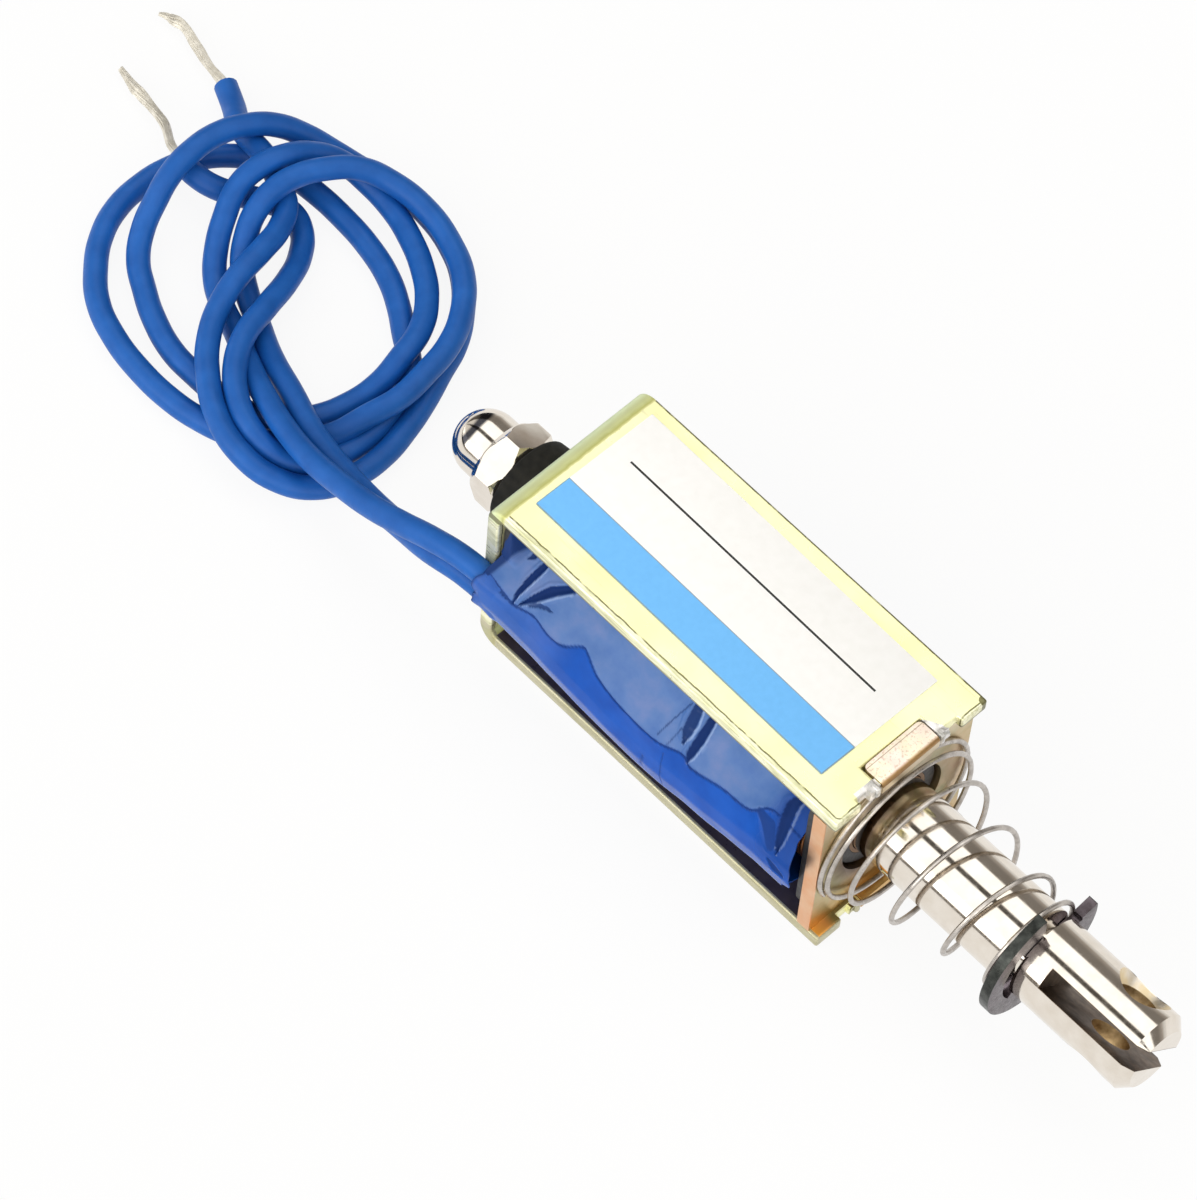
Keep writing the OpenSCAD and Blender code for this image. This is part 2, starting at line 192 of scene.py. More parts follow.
LEAD_B = [
    (10, -6.6, 6.2), (5, -6.6, 5.4), (0, -6.6, 4.8), (-5, -6.6, 5.1), (-10, -6.6, 5.8), (-12.5, -6.9, 6.6),
    (-15.5, -7.3, 7.3), (-18.6, -7.5, 6.7), (-21.2, -7.1, 5.5), (-24, -6.7, 4.4), (-27, -6.2, 3.5),
    (-29.6, -5.7, 2.9), (-32, -5.1, 2.6), (-34.7, -4.1, 2.2), (-38.1, -2.8, 1.3), (-40.9, -1.4, 0.8),
    (-43, -0.4, 0.8), (-44.4, 0.5, 1.3), (-45.4, 1.7, 2.1), (-46.1, 3.3, 3), (-46.1, 5, 3.8),
    (-45.8, 6.5, 4), (-45, 8.2, 4), (-43.7, 10, 3.7), (-41.9, 11.2, 2.9), (-39.1, 11.6, 2.5),
    (-36.1, 11, 2.4), (-33.7, 9.8, 2.5), (-31.9, 8, 2.5), (-30.6, 5.7, 2.6), (-30, 3, 2.6),
    (-29.8, 0.6, 2.5), (-30.3, -1.7, 2.2), (-31.1, -3.9, 1.4), (-32.4, -5.7, 0.9), (-33.9, -7.3, 0.8),
    (-35.7, -8.4, 0.8), (-37.7, -9.1, 0.8), (-40, -9.5, 0.8), (-43, -9.5, 0.8), (-46.1, -9, 0.8),
    (-48.7, -8, 0.8), (-50.7, -6.4, 0.8), (-52.2, -4.6, 0.8), (-53.2, -2.4, 0.8), (-53.5, 0, 0.8),
    (-53.3, 2.1, 0.8), (-52.6, 4.1, 0.8), (-51.5, 5.7, 0.8), (-49.9, 7, 0.8), (-47.9, 7.7, 0.8),
    (-45.6, 8, 0.8), (-43, 8, 0.8), (-40.2, 7.7, 0.8), (-37.6, 7, 0.8), (-35.6, 6, 0.8), (-33.8, 4.8, 0.8),
    (-32, 3.6, 0.8), (-30.9, 2.3, 0.8), (-30.2, 0.6, 0.8), (-29.8, -1.5, 0.8), (-29.8, -3.7, 0.8),
    (-30.3, -5.6, 0.8), (-31.2, -7, 1.1), (-32.7, -7.8, 1.8), (-34.4, -7.9, 2.4), (-36.5, -7.1, 2.6),
    (-38.4, -5.6, 2.7), (-39.7, -3.6, 2.7), (-40.5, -1, 2.4), (-41.4, 1.7, 1.7), (-42.6, 3.9, 1),
    (-44, 5.3, 0.8), (-45.6, 5.8, 0.8), (-47, 5.3, 0.8), (-48.4, 4.2, 1.1), (-49.7, 3, 1.8),
    (-51.1, 2.5, 2.2), (-52.5, 2.6, 2.2)]
STRANDS_A = [(-55.6, 9.3, 0.8), (-57.5, 9.6, 0.7), (-59.3, 10.1, 0.6), (-61, 10.5, 0.6), (-62, 10.4, 0.5),
             (-62.9, 10.1, 0.4)]
STRANDS_B = [(-52.5, 2.6, 2.2), (-54.1, 3.1, 1.9), (-56, 4.2, 1.2), (-58, 4.7, 0.7), (-59.5, 4.9, 0.6),
             (-61.3, 5.3, 0.5)]
# How far the strands lie from their bundle's middle along a stripped end
OPENING_A = [(0, 0.2), (0.6, 0.2), (0.72, 0.29), (0.8, 0.22), (0.86, 0.12), (1, 0.09)]
OPENING_B = [(0, 0.16), (0.5, 0.17), (0.76, 0.3), (0.88, 0.2), (1, 0.08)]

# The tape: where it is lifted to a crease along the leads, from the rear to the front
CREASE = [
    (-13.6, -6.9, 9.6), (-11.6, -7.2, 9), (-9.9, -7, 9.2), (-8.5, -7.1, 8.8), (-7.3, -7, 8.9),
    (-6.2, -6.4, 9.5), (-5.6, -6.5, 9.4), (-4.2, -6.9, 8.7), (-2, -7.1, 8.3), (1, -7.1, 8.3),
    (3, -6.8, 8.8), (4, -7, 8.6), (6.3, -6.8, 9.1), (8.6, -6.7, 9.4), (10, -6, 10.2), (13, -6, 9.8)]
# Its folds: how dark they are painted, as shade and as doubled film, how deep, and points of (x, degrees
# about the axis, half width)
FOLDS = [
    (0.9, 0.08, [(-12.4, 149, 0.06), (-12.2, 146, 0.2), (-12.1, 143, 0.2), (-12, 139, 0.03)]),
    (1.0, 0.14, [(-11.5, 171, 0.06), (-11.6, 166, 0.16), (-11.5, 158, 0.27), (-11.3, 148, 0.27),
                 (-11.2, 143, 0.2), (-11.1, 139, 0.03)]),
    (1.0, 0.16, [(-11.1, 169, 0.05), (-10.5, 162, 0.27), (-9.9, 154, 0.37), (-8.9, 145, 0.27),
                 (-8.4, 139, 0.03)]),
    (0.8, 0.05, [(-10.5, 166, 0.09), (-10, 163, 0.15), (-9.5, 162, 0.12), (-9.1, 162, 0.05)]),
    (0.9, 0.12, [(2, 139, 0.03), (2.1, 145, 0.36), (2.3, 155, 0.45), (2.4, 161, 0.4), (2.6, 167, 0.1)]),
    (1.0, 0.14, [(3.2, 139, 0.03), (3.3, 145, 0.3), (3.4, 160, 0.36), (3.4, 168, 0.32), (3.5, 172, 0.12)]),
    (0.7, 0.03, [(1.6, 147, 0.05), (0.9, 173, 0.05)]),
    (0.6, 0.03, [(2, 162, 0.05), (1.8, 173, 0.05)]),
    (0.5, 0.03, [(0.5, 190, 0.05), (0.4, 200, 0.05)]),
    (0.5, 0.03, [(1.8, 179, 0.05), (2, 190, 0.06), (2.3, 201, 0.05)]),
    (1.0, 0.16, [(10.9, 139, 0.03), (10.8, 145, 0.33), (10.7, 150, 0.44), (11, 160, 0.42),
                 (11.3, 169, 0.3), (11.6, 174, 0.05)]),
    (0.7, 0.06, [(9.2, 163, 0.2), (10.2, 166, 0.5), (11, 173, 0.3)]),
    (0.8, 0.08, [(11.2, 180, 0.12), (11.8, 182, 0.28), (12.5, 183, 0.15)])]


# Modelling helpers


def deselect():
    bpy.ops.object.select_all(action="DESELECT")


def pick(piece):
    """Selects one piece alone and makes it active."""
    deselect()
    piece.select_set(True)
    bpy.context.view_layer.objects.active = piece


def take_new(name):
    """Names the primitive that was just added and applies its place and size to its mesh."""
    piece = bpy.context.active_object
    piece.name = name
    piece.data.name = name
    bpy.ops.object.transform_apply(location=True, rotation=True, scale=True)
    return piece


def block(name, low, high):
    """A cube between two corners."""
    deselect()
    low, high = Vector(low), Vector(high)
    bpy.ops.mesh.primitive_cube_add(size=1, location=(low + high) / 2, scale=high - low)
    return take_new(name)


def rod(name, x0, x1, radius, sides=96):
    """A cylinder along X about the plunger's axis."""
    deselect()
    bpy.ops.mesh.primitive_cylinder_add(vertices=sides, radius=radius, depth=x1 - x0,
                                        location=((x0 + x1) / 2, 0, axis_z), rotation=(0, math.pi / 2, 0))
    return take_new(name)


def post(name, radius, depth, at):
    """A cylinder along Z about a place."""
    deselect()
    bpy.ops.mesh.primitive_cylinder_add(vertices=64, radius=radius, depth=depth, location=at)
    return take_new(name)


def about_axis(degrees):
    """The turn of a piece about the plunger's axis."""
    lift = Matrix.Translation((0, 0, axis_z))
    return lift @ Matrix.Rotation(math.radians(degrees), 4, "X") @ lift.inverted()


def edit(piece):
    pick(piece)
    bpy.ops.object.mode_set(mode="EDIT")
    bpy.ops.mesh.select_mode(type="VERT")
    bpy.ops.mesh.select_all(action="DESELECT")


def leave():
    bpy.ops.object.mode_set(mode="OBJECT")


def pick_all():
    bpy.ops.mesh.select_all(action="SELECT")


def pick_faces(piece, wanted):
    """Selects, in edit mode, the faces whose centre and normal are wanted."""
    bpy.ops.mesh.select_mode(type="FACE")
    mesh = bmesh.from_edit_mesh(piece.data)
    for face in mesh.faces:
        face.select_set(wanted(face.calc_center_median(), face.normal))
    bmesh.update_edit_mesh(piece.data)


def bevel_edges(piece, wanted, offset, segments):
    """Rounds the edges whose middle and direction are wanted."""
    edit(piece)
    bpy.ops.mesh.select_mode(type="EDGE")
    mesh = bmesh.from_edit_mesh(piece.data)
    for edge in mesh.edges:
        a, b = (corner.co for corner in edge.verts)
        edge.select_set(wanted((a + b) / 2, (b - a).normalized()))
    bmesh.update_edit_mesh(piece.data)
    bpy.ops.mesh.bevel(offset=offset, segments=segments, affect="EDGES")
    leave()


def apply_modifier(piece, kind, **settings):
    pick(piece)
    modifier = piece.modifiers.new(kind.lower(), kind)
    for key, value in settings.items():
        setattr(modifier, key, value)
    bpy.ops.object.modifier_apply(modifier=modifier.name)


def cut(piece, cutter, operation="DIFFERENCE"):
    """Cuts a piece with another one, which is used up."""
    apply_modifier(piece, "BOOLEAN", operation=operation, object=cutter, solver="EXACT")
    bpy.data.objects.remove(cutter)


def weld(piece):
    """Merges doubles, clears flat seams and turns the faces outwards."""
    edit(piece)
    pick_all()
    bpy.ops.mesh.remove_doubles(threshold=weld_gap)
    bpy.ops.mesh.dissolve_limited(angle_limit=math.radians(0.4))
    pick_all()
    bpy.ops.mesh.normals_make_consistent(inside=False)
    leave()


def round_edges(piece, width, segments=3, angle=30):
    weld(piece)
    apply_modifier(piece, "BEVEL", width=width, segments=segments, limit_method="ANGLE",
                   angle_limit=math.radians(angle), profile=0.6)


def turned(name, outline, steps=96):
    """A solid of revolution about the plunger's axis: an outline of (x, radius) is drawn and spun."""
    deselect()
    bpy.ops.mesh.primitive_plane_add(size=1)
    piece = take_new(name)
    edit(piece)
    pick_all()
    bpy.ops.mesh.merge(type="CENTER")
    first_x, first_r = outline[0]
    bpy.ops.transform.translate(value=(first_x, 0, axis_z + first_r))
    for (x0, r0), (x1, r1) in zip(outline, outline[1:]):
        bpy.ops.mesh.extrude_vertices_move(TRANSFORM_OT_translate={"value": (x1 - x0, 0, r1 - r0)})
    pick_all()
    bpy.ops.mesh.spin(steps=steps, angle=2 * math.pi, center=(0, 0, axis_z), axis=(1, 0, 0))
    pick_all()
    bpy.ops.mesh.remove_doubles(threshold=weld_gap)
    bpy.ops.mesh.normals_make_consistent(inside=False)
    leave()
    return piece


def arc(centre_x, centre_r, radius, start, end, steps):
    """Points (x, radius) of an arc in a turned outline, by angles in degrees from +X."""
    angles = [math.radians(start + (end - start) * i / steps) for i in range(steps + 1)]
    return [(centre_x + radius * math.cos(a), centre_r + radius * math.sin(a)) for a in angles]


def join(name, *pieces):
    """Joins pieces into the first of them."""
    pick(pieces[0])
    for piece in pieces[1:]:
        piece.select_set(True)
    bpy.ops.object.join()
    pieces[0].name = name
    return pieces[0]


def finish_piece(piece, finish, body="coil_unit", nodes=(), sharp=35):
    """Brings a piece to metres, gives it its finish, and lets it stand for its nodes on its body."""
    pick(piece)
    bpy.ops.object.shade_smooth_by_angle(angle=math.radians(sharp))
    piece.scale = (MM, MM, MM)
    bpy.ops.object.transform_apply(location=False, rotation=False, scale=True)
    piece.data.materials.clear()
    piece.data.materials.append(finish)
    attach(piece, body)
    if nodes:
        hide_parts(*nodes)
    return piece


# Finishes


class Field:
    """A value that varies over a piece, reckoned with like a number. A comparison is 1 where it holds."""

    def __init__(self, tree, socket):
        self.tree = tree
        self.socket = socket

    def reckon(self, operation, b=0.0, c=0.0):
        return self.tree.value("ShaderNodeMath", {0: self, 1: b, 2: c}, operation=operation)

    def distance(self, other):
        """How far two coordinates together lie from zero."""
        return self.scaled(self, other * other).root()

    __add__ = partialmethod(reckon, "ADD")
    __sub__ = partialmethod(reckon, "SUBTRACT")
    __mul__ = partialmethod(reckon, "MULTIPLY")
    __truediv__ = partialmethod(reckon, "DIVIDE")
    __gt__ = partialmethod(reckon, "GREATER_THAN")
    __lt__ = partialmethod(reckon, "LESS_THAN")
    __abs__ = partialmethod(reckon, "ABSOLUTE")
    root = partialmethod(reckon, "SQRT")
    sine = partialmethod(reckon, "SINE")
    angle = partialmethod(reckon, "ARCTAN2")
    most = partialmethod(reckon, "MAXIMUM")
    least = partialmethod(reckon, "MINIMUM")
    near = partialmethod(reckon, "COMPARE")
    scaled = partialmethod(reckon, "MULTIPLY_ADD")


class NodeTree:
    """The nodes of a material or of the world."""

    def __init__(self, owner):
        owner.use_nodes = True
        self.nodes = owner.node_tree.nodes
        self.links = owner.node_tree.links

    def add(self, kind, inputs=(), **settings):
        """A new node with its settings and what goes into it."""
        made = self.nodes.new(kind)
        for key, value in settings.items():
            setattr(made, key, value)
        for key, value in dict(inputs).items():
            if isinstance(value, Field):
                self.links.new(value.socket, made.inputs[key])
            else:
                made.inputs[key].default_value = value
        return made

    def value(self, kind, inputs=(), out=0, **settings):
        """One output of a new node."""
        return Field(self, self.add(kind, inputs, **settings).outputs[out])

    def axes(self, place):
        outputs = self.add("ShaderNodeSeparateXYZ", {"Vector": place}).outputs
        return [Field(self, socket) for socket in outputs]

    def rays(self, *kinds):
        """Which rays look, one value for each kind."""
        outputs = self.add("ShaderNodeLightPath").outputs
        return [Field(self, outputs[f"Is {kind} Ray"]) for kind in kinds]

    def ramp(self, amount, *stops):
        """A colour or grey by amount, from stops of (amount, colour)."""
        node = self.add("ShaderNodeValToRGB", {"Fac": amount})
        elements = node.color_ramp.elements
        while len(elements) < len(stops):
            elements.new(0.5)
        for element, (where, colour) in zip(elements, stops):
            element.position = where
            element.color = (*colour, 1) if isinstance(colour, tuple) else (colour, colour, colour, 1)
        return Field(self, node.outputs["Color"])

    def blend(self, amount, a, b, mode="MIX"):
        a, b = (colour if isinstance(colour, Field) else (*colour, 1) for colour in (a, b))
        return self.value("ShaderNodeMix", {0: amount, 6: a, 7: b}, 2, data_type="RGBA", blend_type=mode)


class Finish(NodeTree):
    """A procedural material, with its pattern in millimetres of the part's own frame."""

    def __init__(self, name, colour, roughness, metallic=0.0, **sockets):
        self.material = bpy.data.materials.new(name)
        super().__init__(self.material)
        self.shader = self.nodes["Principled BSDF"]
        sockets |= {"Base_Color": (*colour, 1), "Roughness": roughness, "Metallic": metallic}
        for key, value in sockets.items():
            self.shader.inputs[key.replace("_", " ")].default_value = value
        self.place = self.mapped()

    def feed(self, value, socket):
        self.links.new(value.socket, self.shader.inputs[socket])

    def mapped(self, at=(0, 0, 0), turn=(0, 0, 0)):
        """Object coordinates in millimetres about a place, turned about X, Y and Z by degrees."""
        inputs = {"Vector": self.value("ShaderNodeTexCoord", out="Object"), "Location": Vector(at) * MM,
                  "Rotation": [math.radians(degrees) for degrees in turn], "Scale": (MM, MM, MM)}
        return self.value("ShaderNodeMapping", inputs, vector_type="TEXTURE")

    def grain(self, scale, detail=3, stretch=(1, 1, 1)):
        """Noise with its scale in features a millimetre, stretched along an axis by a small factor there."""
        place = self.value("ShaderNodeMapping", {"Vector": self.place, "Scale": stretch})
        inputs = {"Vector": place, "Scale": scale, "Detail": detail, "Roughness": 0.55}
        return self.value("ShaderNodeTexNoise", inputs, "Fac")

    def cloud(self, dark, light, *grain):
        """Two tones, clouded by a grain."""
        return self.ramp(self.grain(*grain), (0.3, dark), (0.7, light))

    def bumps(self, *heights):
        """Relief from (height, strength, depth in millimetres), one on the other."""
        below = {}
        for height, strength, depth in heights:
            inputs = {"Height": height, "Strength": strength, "Distance": depth * MM} | below
            below = {"Normal": self.value("ShaderNodeBump", inputs)}
        self.feed(below["Normal"], "Normal")


def yellow_zinc():
    """Pale yellow plating with dark lines inside its sheared edges painted as reflections, rims painted paler
    as wear and highlight, olive bends, painted shade inside the base plate and bare staked lumps.
    """
    paint = Finish("yellow_zinc", (0.95, 0.93, 0.54), 0.3, 0.6)
    x, y, z = paint.axes(paint.place)
    colour = paint.ramp(paint.grain(0.3), (0.3, (0.94, 0.91, 0.47)), (0.5, (0.96, 0.94, 0.54)),
                        (0.72, (0.97, 0.96, 0.62)))

    # The sheared rim of a plate, outside a line that lies further in on the near side; the rim is painted
    # paler, as wear and as a painted highlight of the rolled edge
    line_r, near_inset, far_inset, front_inset = 0.3, 0.36, 0.1, 0.2
    middle = (near_inset - far_inset) / 2
    half = frame_high.y - (near_inset + far_inset) / 2 - line_r
    ahead = (x - (frame_high.x - front_inset - line_r)).most(0)
    aside = (abs(y - middle) - half).most(0)
    out = ahead.distance(aside) + paint.grain(1.1).scaled(0.16, -0.08)
    rim = out > line_r
    worn_and_edge_highlight = paint.ramp(paint.grain(1.6, 3, (0.3, 2, 2)), (0.35, (0.6, 0.6, 0.34)), (0.55, (0.9, 0.89, 0.62)),
                      (0.75, (0.95, 0.94, 0.76)))
    colour = paint.blend(rim, colour, worn_and_edge_highlight)
    scratch = paint.grain(0.9, 2, (0.2, 6, 6)) > 0.67
    colour = paint.blend(scratch * 0.3, colour, (0.5, 0.48, 0.3))

    # The line itself, a painted dark reflection of the rolled edge, broken here and there, and the dark far
    # corner, painted the same way
    inset = 0.15
    whole = paint.ramp(paint.grain(0.9), (0.34, 0.25), (0.46, 1.0))
    to_front, to_far = x - (frame_high.x - inset), y - (frame_high.y - inset)
    far = to_far.least(z - (frame_high.z - 0.6)) > 0
    corner = to_front * to_front + to_far * to_far < 0.12
    line = (far.most(out.near(line_r, 0.05)) * whole).most(corner)
    colour = paint.blend(line * 0.9, colour, (0.12, 0.11, 0.03))

    # Olive bands on the rear bends
    bend = (x - (bend_r - frame_high.x)) * -0.7 + paint.grain(1.5).scaled(0.16, -0.08)
    olive = paint.ramp(bend, (0.0, (0.9, 0.88, 0.46)), (0.14, (0.6, 0.6, 0.2)), (0.32, (0.82, 0.86, 0.42)),
                       (0.7, (0.8, 0.88, 0.55)), (1.0, (0.62, 0.7, 0.46)))
    bent = (abs(z - axis_z) > axis_z - 1.4) * (bend > 0.02)
    colour = paint.blend(bent, colour, olive)

    # The base plate's rim, the label plate's lower edge, and the base plate's inside, painted dark as shade
    # under the coil, with its amber front
    colour = paint.blend(rim * (z < 2) * 0.75, colour, (0.42, 0.38, 0.24))
    colour = paint.blend(rim * z.near(frame_high.z - sheet_t, 0.3) * 0.8, colour, (0.16, 0.15, 0.07))
    inside = z.near(sheet_t, 0.03) * (abs(y) < frame_high.y - 0.25)
    # Painted shade: the base plate's inside under the coil is painted near black
    inside_shade = paint.cloud((0.055, 0.042, 0.055), (0.1, 0.08, 0.085), 0.6)
    amber = paint.ramp(y.scaled(0.5, 3.2), (0.1, (0.9, 0.42, 0.07)), (0.6, (0.7, 0.34, 0.1)),
                       (0.9, (0.25, 0.21, 0.08)))
    colour = paint.blend(inside, colour, paint.blend(x > plate_high.x, inside_shade, amber))

    # Bare metal on the staked lumps
    slant = 0.55
    right = y.near(2.9, 0.5) * (x > 13.2) * (x.scaled(-slant, y) < 3.42 - slant * right_lump[1][0])
    left = y.near(-3.3, 0.85) * (x > 14.15)
    staked = left.most(right) * (z > axis_z)
    silver = paint.ramp(paint.grain(1.3, 4), (0.36, (0.4, 0.39, 0.36)), (0.5, (0.74, 0.72, 0.69)),
                        (0.62, (0.9, 0.88, 0.86)))
    paint.feed(paint.blend(staked, colour, silver), "Base Color")
    paint.feed(bent.scaled(0.2, paint.cloud(0.26, 0.38, 1.2, 4)), "Roughness")
    paint.bumps((paint.grain(1.0, 4, (0.08, 3, 3)), 0.1, 0.02), (paint.grain(9, 2), 0.06, 0.01))
    return paint.material


def gold_passivation():
    """Gold plating with pink and green clouds, salmon on its side, amber near its foot, a painted shadow
    round its hole and a painted dark reflection on its tab's front edge.
    """
    paint = Finish("gold_passivation", (0.55, 0.42, 0.24), 0.34, 0.95)
    x, y, z = paint.axes(paint.place)
    colour = paint.ramp(paint.grain(0.28), (0.3, (0.58, 0.38, 0.22)), (0.45, (0.56, 0.43, 0.22)),
                        (0.58, (0.4, 0.37, 0.18)), (0.72, (0.56, 0.38, 0.26)))
    high = paint.ramp(z.scaled(0.3, -3.4), (0.0, 0.0), (1.0, 1.0))
    colour = paint.blend(high, colour, (0.72, 0.6, 0.42))
    # Painted shadow on the front face round the hole, stronger on the near side
    from_hole = y.distance(z - axis_z).scaled(0.5, -0.5 * plate_hole_r)
    hole_shadow = paint.ramp(from_hole, (0.01, 0.95), (0.95, 0.0))
    shadow_near_side = paint.ramp(y.scaled(0.2, 0.5), (0.4, 1.0), (0.8, 0.35))
    colour = paint.blend(hole_shadow * shadow_near_side, colour, (0.1, 0.05, 0.025))
    foot = paint.ramp(z.scaled(-0.25, 1.1), (0.0, 0.0), (1.0, 0.8))
    colour = paint.blend(foot, colour, (0.72, 0.4, 0.1))
    salmon = paint.ramp(paint.grain(0.5), (0.35, (0.78, 0.4, 0.2)), (0.65, (0.8, 0.5, 0.3)))
    colour = paint.blend(y < plate_low.y + 0.1, colour, salmon)

    # The upper tab: pink, rubbed, with a thin dark line across it and a brown front edge painted as the dark
    # reflection of its rounded front
    pink = paint.ramp(paint.grain(0.6, 4), (0.35, (0.9, 0.8, 0.56)), (0.6, (0.9, 0.75, 0.65)))
    pink = paint.blend((paint.grain(5, 4) > 0.57) * 0.4, pink, (0.42, 0.28, 0.17))
    pink = paint.blend(x.near(plate_low.x + 0.26, 0.03) * 0.7, pink, (0.3, 0.22, 0.14))
    # Painted reflection: the tab's rounded front edge is painted dark brown
    front = paint.ramp(x - plate_high.x, (tab_lip - 0.32, 0.0), (tab_lip - 0.16, 0.9))
    pink = paint.blend(front, pink, (0.34, 0.18, 0.05))
    paint.feed(paint.blend(z > frame_high.z - tab_lip_r, colour, pink), "Base Color")
    paint.feed(paint.cloud(0.28, 0.42, 1.5, 4), "Roughness")
    paint.bumps((paint.grain(1.2, 4, (3, 0.1, 3)), 0.12, 0.02), (paint.grain(10, 2), 0.1, 0.01))
    return paint.material


def turned_steel():
    paint = Finish("turned_steel", (0.6, 0.59, 0.57), 0.35, 1.0)
    paint.feed(paint.cloud((0.5, 0.49, 0.47), (0.68, 0.67, 0.65), 2, 4, (4, 0.3, 0.3)), "Base Color")
    paint.bumps((paint.grain(4, 3, (5, 0.2, 0.2)), 0.2, 0.01))
    return paint.material


def black_moulding():
    paint = Finish("black_moulding", (0.02, 0.02, 0.022), 0.5)
    paint.feed(paint.cloud((0.015, 0.015, 0.017), (0.035, 0.033, 0.036), 1.2, 4), "Base Color")
    paint.feed(paint.cloud(0.42, 0.6, 3), "Roughness")
    paint.bumps((paint.grain(14), 0.15, 0.01))
    return paint.material


# Painted shade: the brass is darkened because it sits shadowed inside the front hole
def shade_darkened_brass():
    paint = Finish("shade_darkened_brass", (0.34, 0.18, 0.08), 0.4, 1.0)
    paint.feed(paint.cloud((0.14, 0.07, 0.03), (0.28, 0.15, 0.06), 1, 4, (0.3, 2, 2)), "Base Color")
    paint.bumps((paint.grain(2, 3, (0.1, 6, 6)), 0.2, 0.01))
    return paint.material


def enamelled_copper():
    """Fine wire turns side by side along the winding."""
    paint = Finish("enamelled_copper", (0.6, 0.24, 0.08), 0.3, 0.9)
    x = paint.axes(paint.place)[0]
    turns = abs((x * 12).sine())
    paint.feed(paint.ramp(turns, (0.0, (0.3, 0.1, 0.03)), (0.6, (0.66, 0.28, 0.1))), "Base Color")
    paint.bumps((turns, 0.6, 0.08))
    return paint.material


def blue_film():
    """Glossy polyester tape, painted pale above its crease as a sheen, with painted highlights on its fold
    lips, and dull and dark in its folds, the darkness painted as shade and as doubled film.
    """
    paint = Finish("blue_film", (0.004, 0.075, 0.43), 0.2, Specular_IOR_Level=0.16)
    glint, fold, sheen_and_slack = (paint.value("ShaderNodeAttribute", out="Fac", attribute_name=kept)
                          for kept in ("glint", "fold", "sheen_and_slack"))
    taut = paint.cloud((0.002, 0.06, 0.36), (0.006, 0.085, 0.45), 0.5)
    # Painted sheen: the slack film above the crease is painted pale, as the light panels' reflection and as
    # its single layer over the winding
    pale = paint.ramp(paint.grain(0.45, 4), (0.3, (0.055, 0.14, 0.4)), (0.5, (0.085, 0.175, 0.43)),
                      (0.7, (0.13, 0.2, 0.44)))
    colour = paint.blend(sheen_and_slack, taut, pale)
    # Painted highlight: the lips of the folds are painted pale where they would shine
    colour = paint.blend(glint, colour, (0.3, 0.42, 0.7))
    # Painted shade and doubled film: the folds, the crease line, the turned-down rear rim, the front end and
    # the sleeve's rim are painted dark
    paint.feed(paint.blend(fold, colour, (0.001, 0.022, 0.13)), "Base Color")
    paint.feed(fold.scaled(0.45, paint.grain(0.9).scaled(0.12, 0.14)), "Roughness")
    paint.bumps((paint.grain(0.7, 3, (0.6, 1, 1)), 0.2, 0.1), (paint.grain(6), 0.05, 0.02))
    return paint.material


def printed_label():
    """White film with a blue stripe along one edge and a thin black rule."""
    paint = Finish("printed_label", (0.87, 0.87, 0.86), 0.42, Specular_IOR_Level=0.3)
    x, y = paint.axes(paint.mapped((*label_at, 0), (0, 0, label_skew)))[:2]
    stripe_top, rule_y, rule_x, rule_half = -2.1, 1.5, -0.15, 10.7
    outline_w = 0.06
    stripe = y < stripe_top
    paper = paint.cloud((0.9, 0.9, 0.89), (0.93, 0.93, 0.925), 1.5)
    ink = paint.cloud((0.15, 0.47, 0.9), (0.165, 0.5, 0.94), 2.5)
    colour = paint.blend(stripe, paper, ink)
    border = (abs(x) > label_len / 2 - outline_w).most(y < -label_w / 2 + outline_w)
    outline = y.near(stripe_top, 0.035).most(stripe * border)
    colour = paint.blend(outline * 0.7, colour, (0.22, 0.24, 0.27))
    rule = y.near(rule_y, 0.075) * x.near(rule_x, rule_half)
    paint.feed(paint.blend(rule, colour, (0.03, 0.03, 0.03)), "Base Color")
    paint.feed(paint.cloud(0.36, 0.48, 2), "Roughness")
    paint.bumps((paint.grain(5), 0.05, 0.01))
    return paint.material


def spring_steel():
    paint = Finish("spring_steel", (0.52, 0.48, 0.44), 0.3, 1.0)
    paint.feed(paint.cloud((0.4, 0.365, 0.33), (0.62, 0.575, 0.53), 1.5, 4), "Base Color")
    paint.feed(paint.cloud(0.24, 0.42, 4), "Roughness")
    paint.bumps((paint.grain(12), 0.12, 0.01))
    return paint.material


def dull_solder():
    paint = Finish("dull_solder", (0.62, 0.62, 0.6), 0.45, 0.9)
    paint.feed(paint.cloud((0.5, 0.5, 0.48), (0.7, 0.7, 0.68), 2, 4), "Base Color")
    paint.bumps((paint.grain(4), 0.3, 0.03))
    return paint.material


def blue_insulation():
    """Satin blue insulation with a faint extruded grain."""
    paint = Finish("blue_insulation", (0.008, 0.1, 0.41), 0.42, Specular_IOR_Level=0.28)
    paint.feed(paint.cloud((0.005, 0.088, 0.37), (0.01, 0.115, 0.45), 0.6, 4), "Base Color")
    paint.feed(paint.cloud(0.36, 0.5, 2), "Roughness")
    paint.bumps((paint.grain(7), 0.1, 0.015))
    return paint.material


def tinned_strand():
    paint = Finish("tinned_strand", (0.74, 0.7, 0.61), 0.45, 0.7)
    paint.feed(paint.cloud((0.6, 0.56, 0.47), (0.86, 0.82, 0.73), 1.4, 4), "Base Color")
    paint.feed(paint.cloud(0.38, 0.6, 5), "Roughness")
    paint.bumps((paint.grain(9), 0.3, 0.02))
    return paint.material


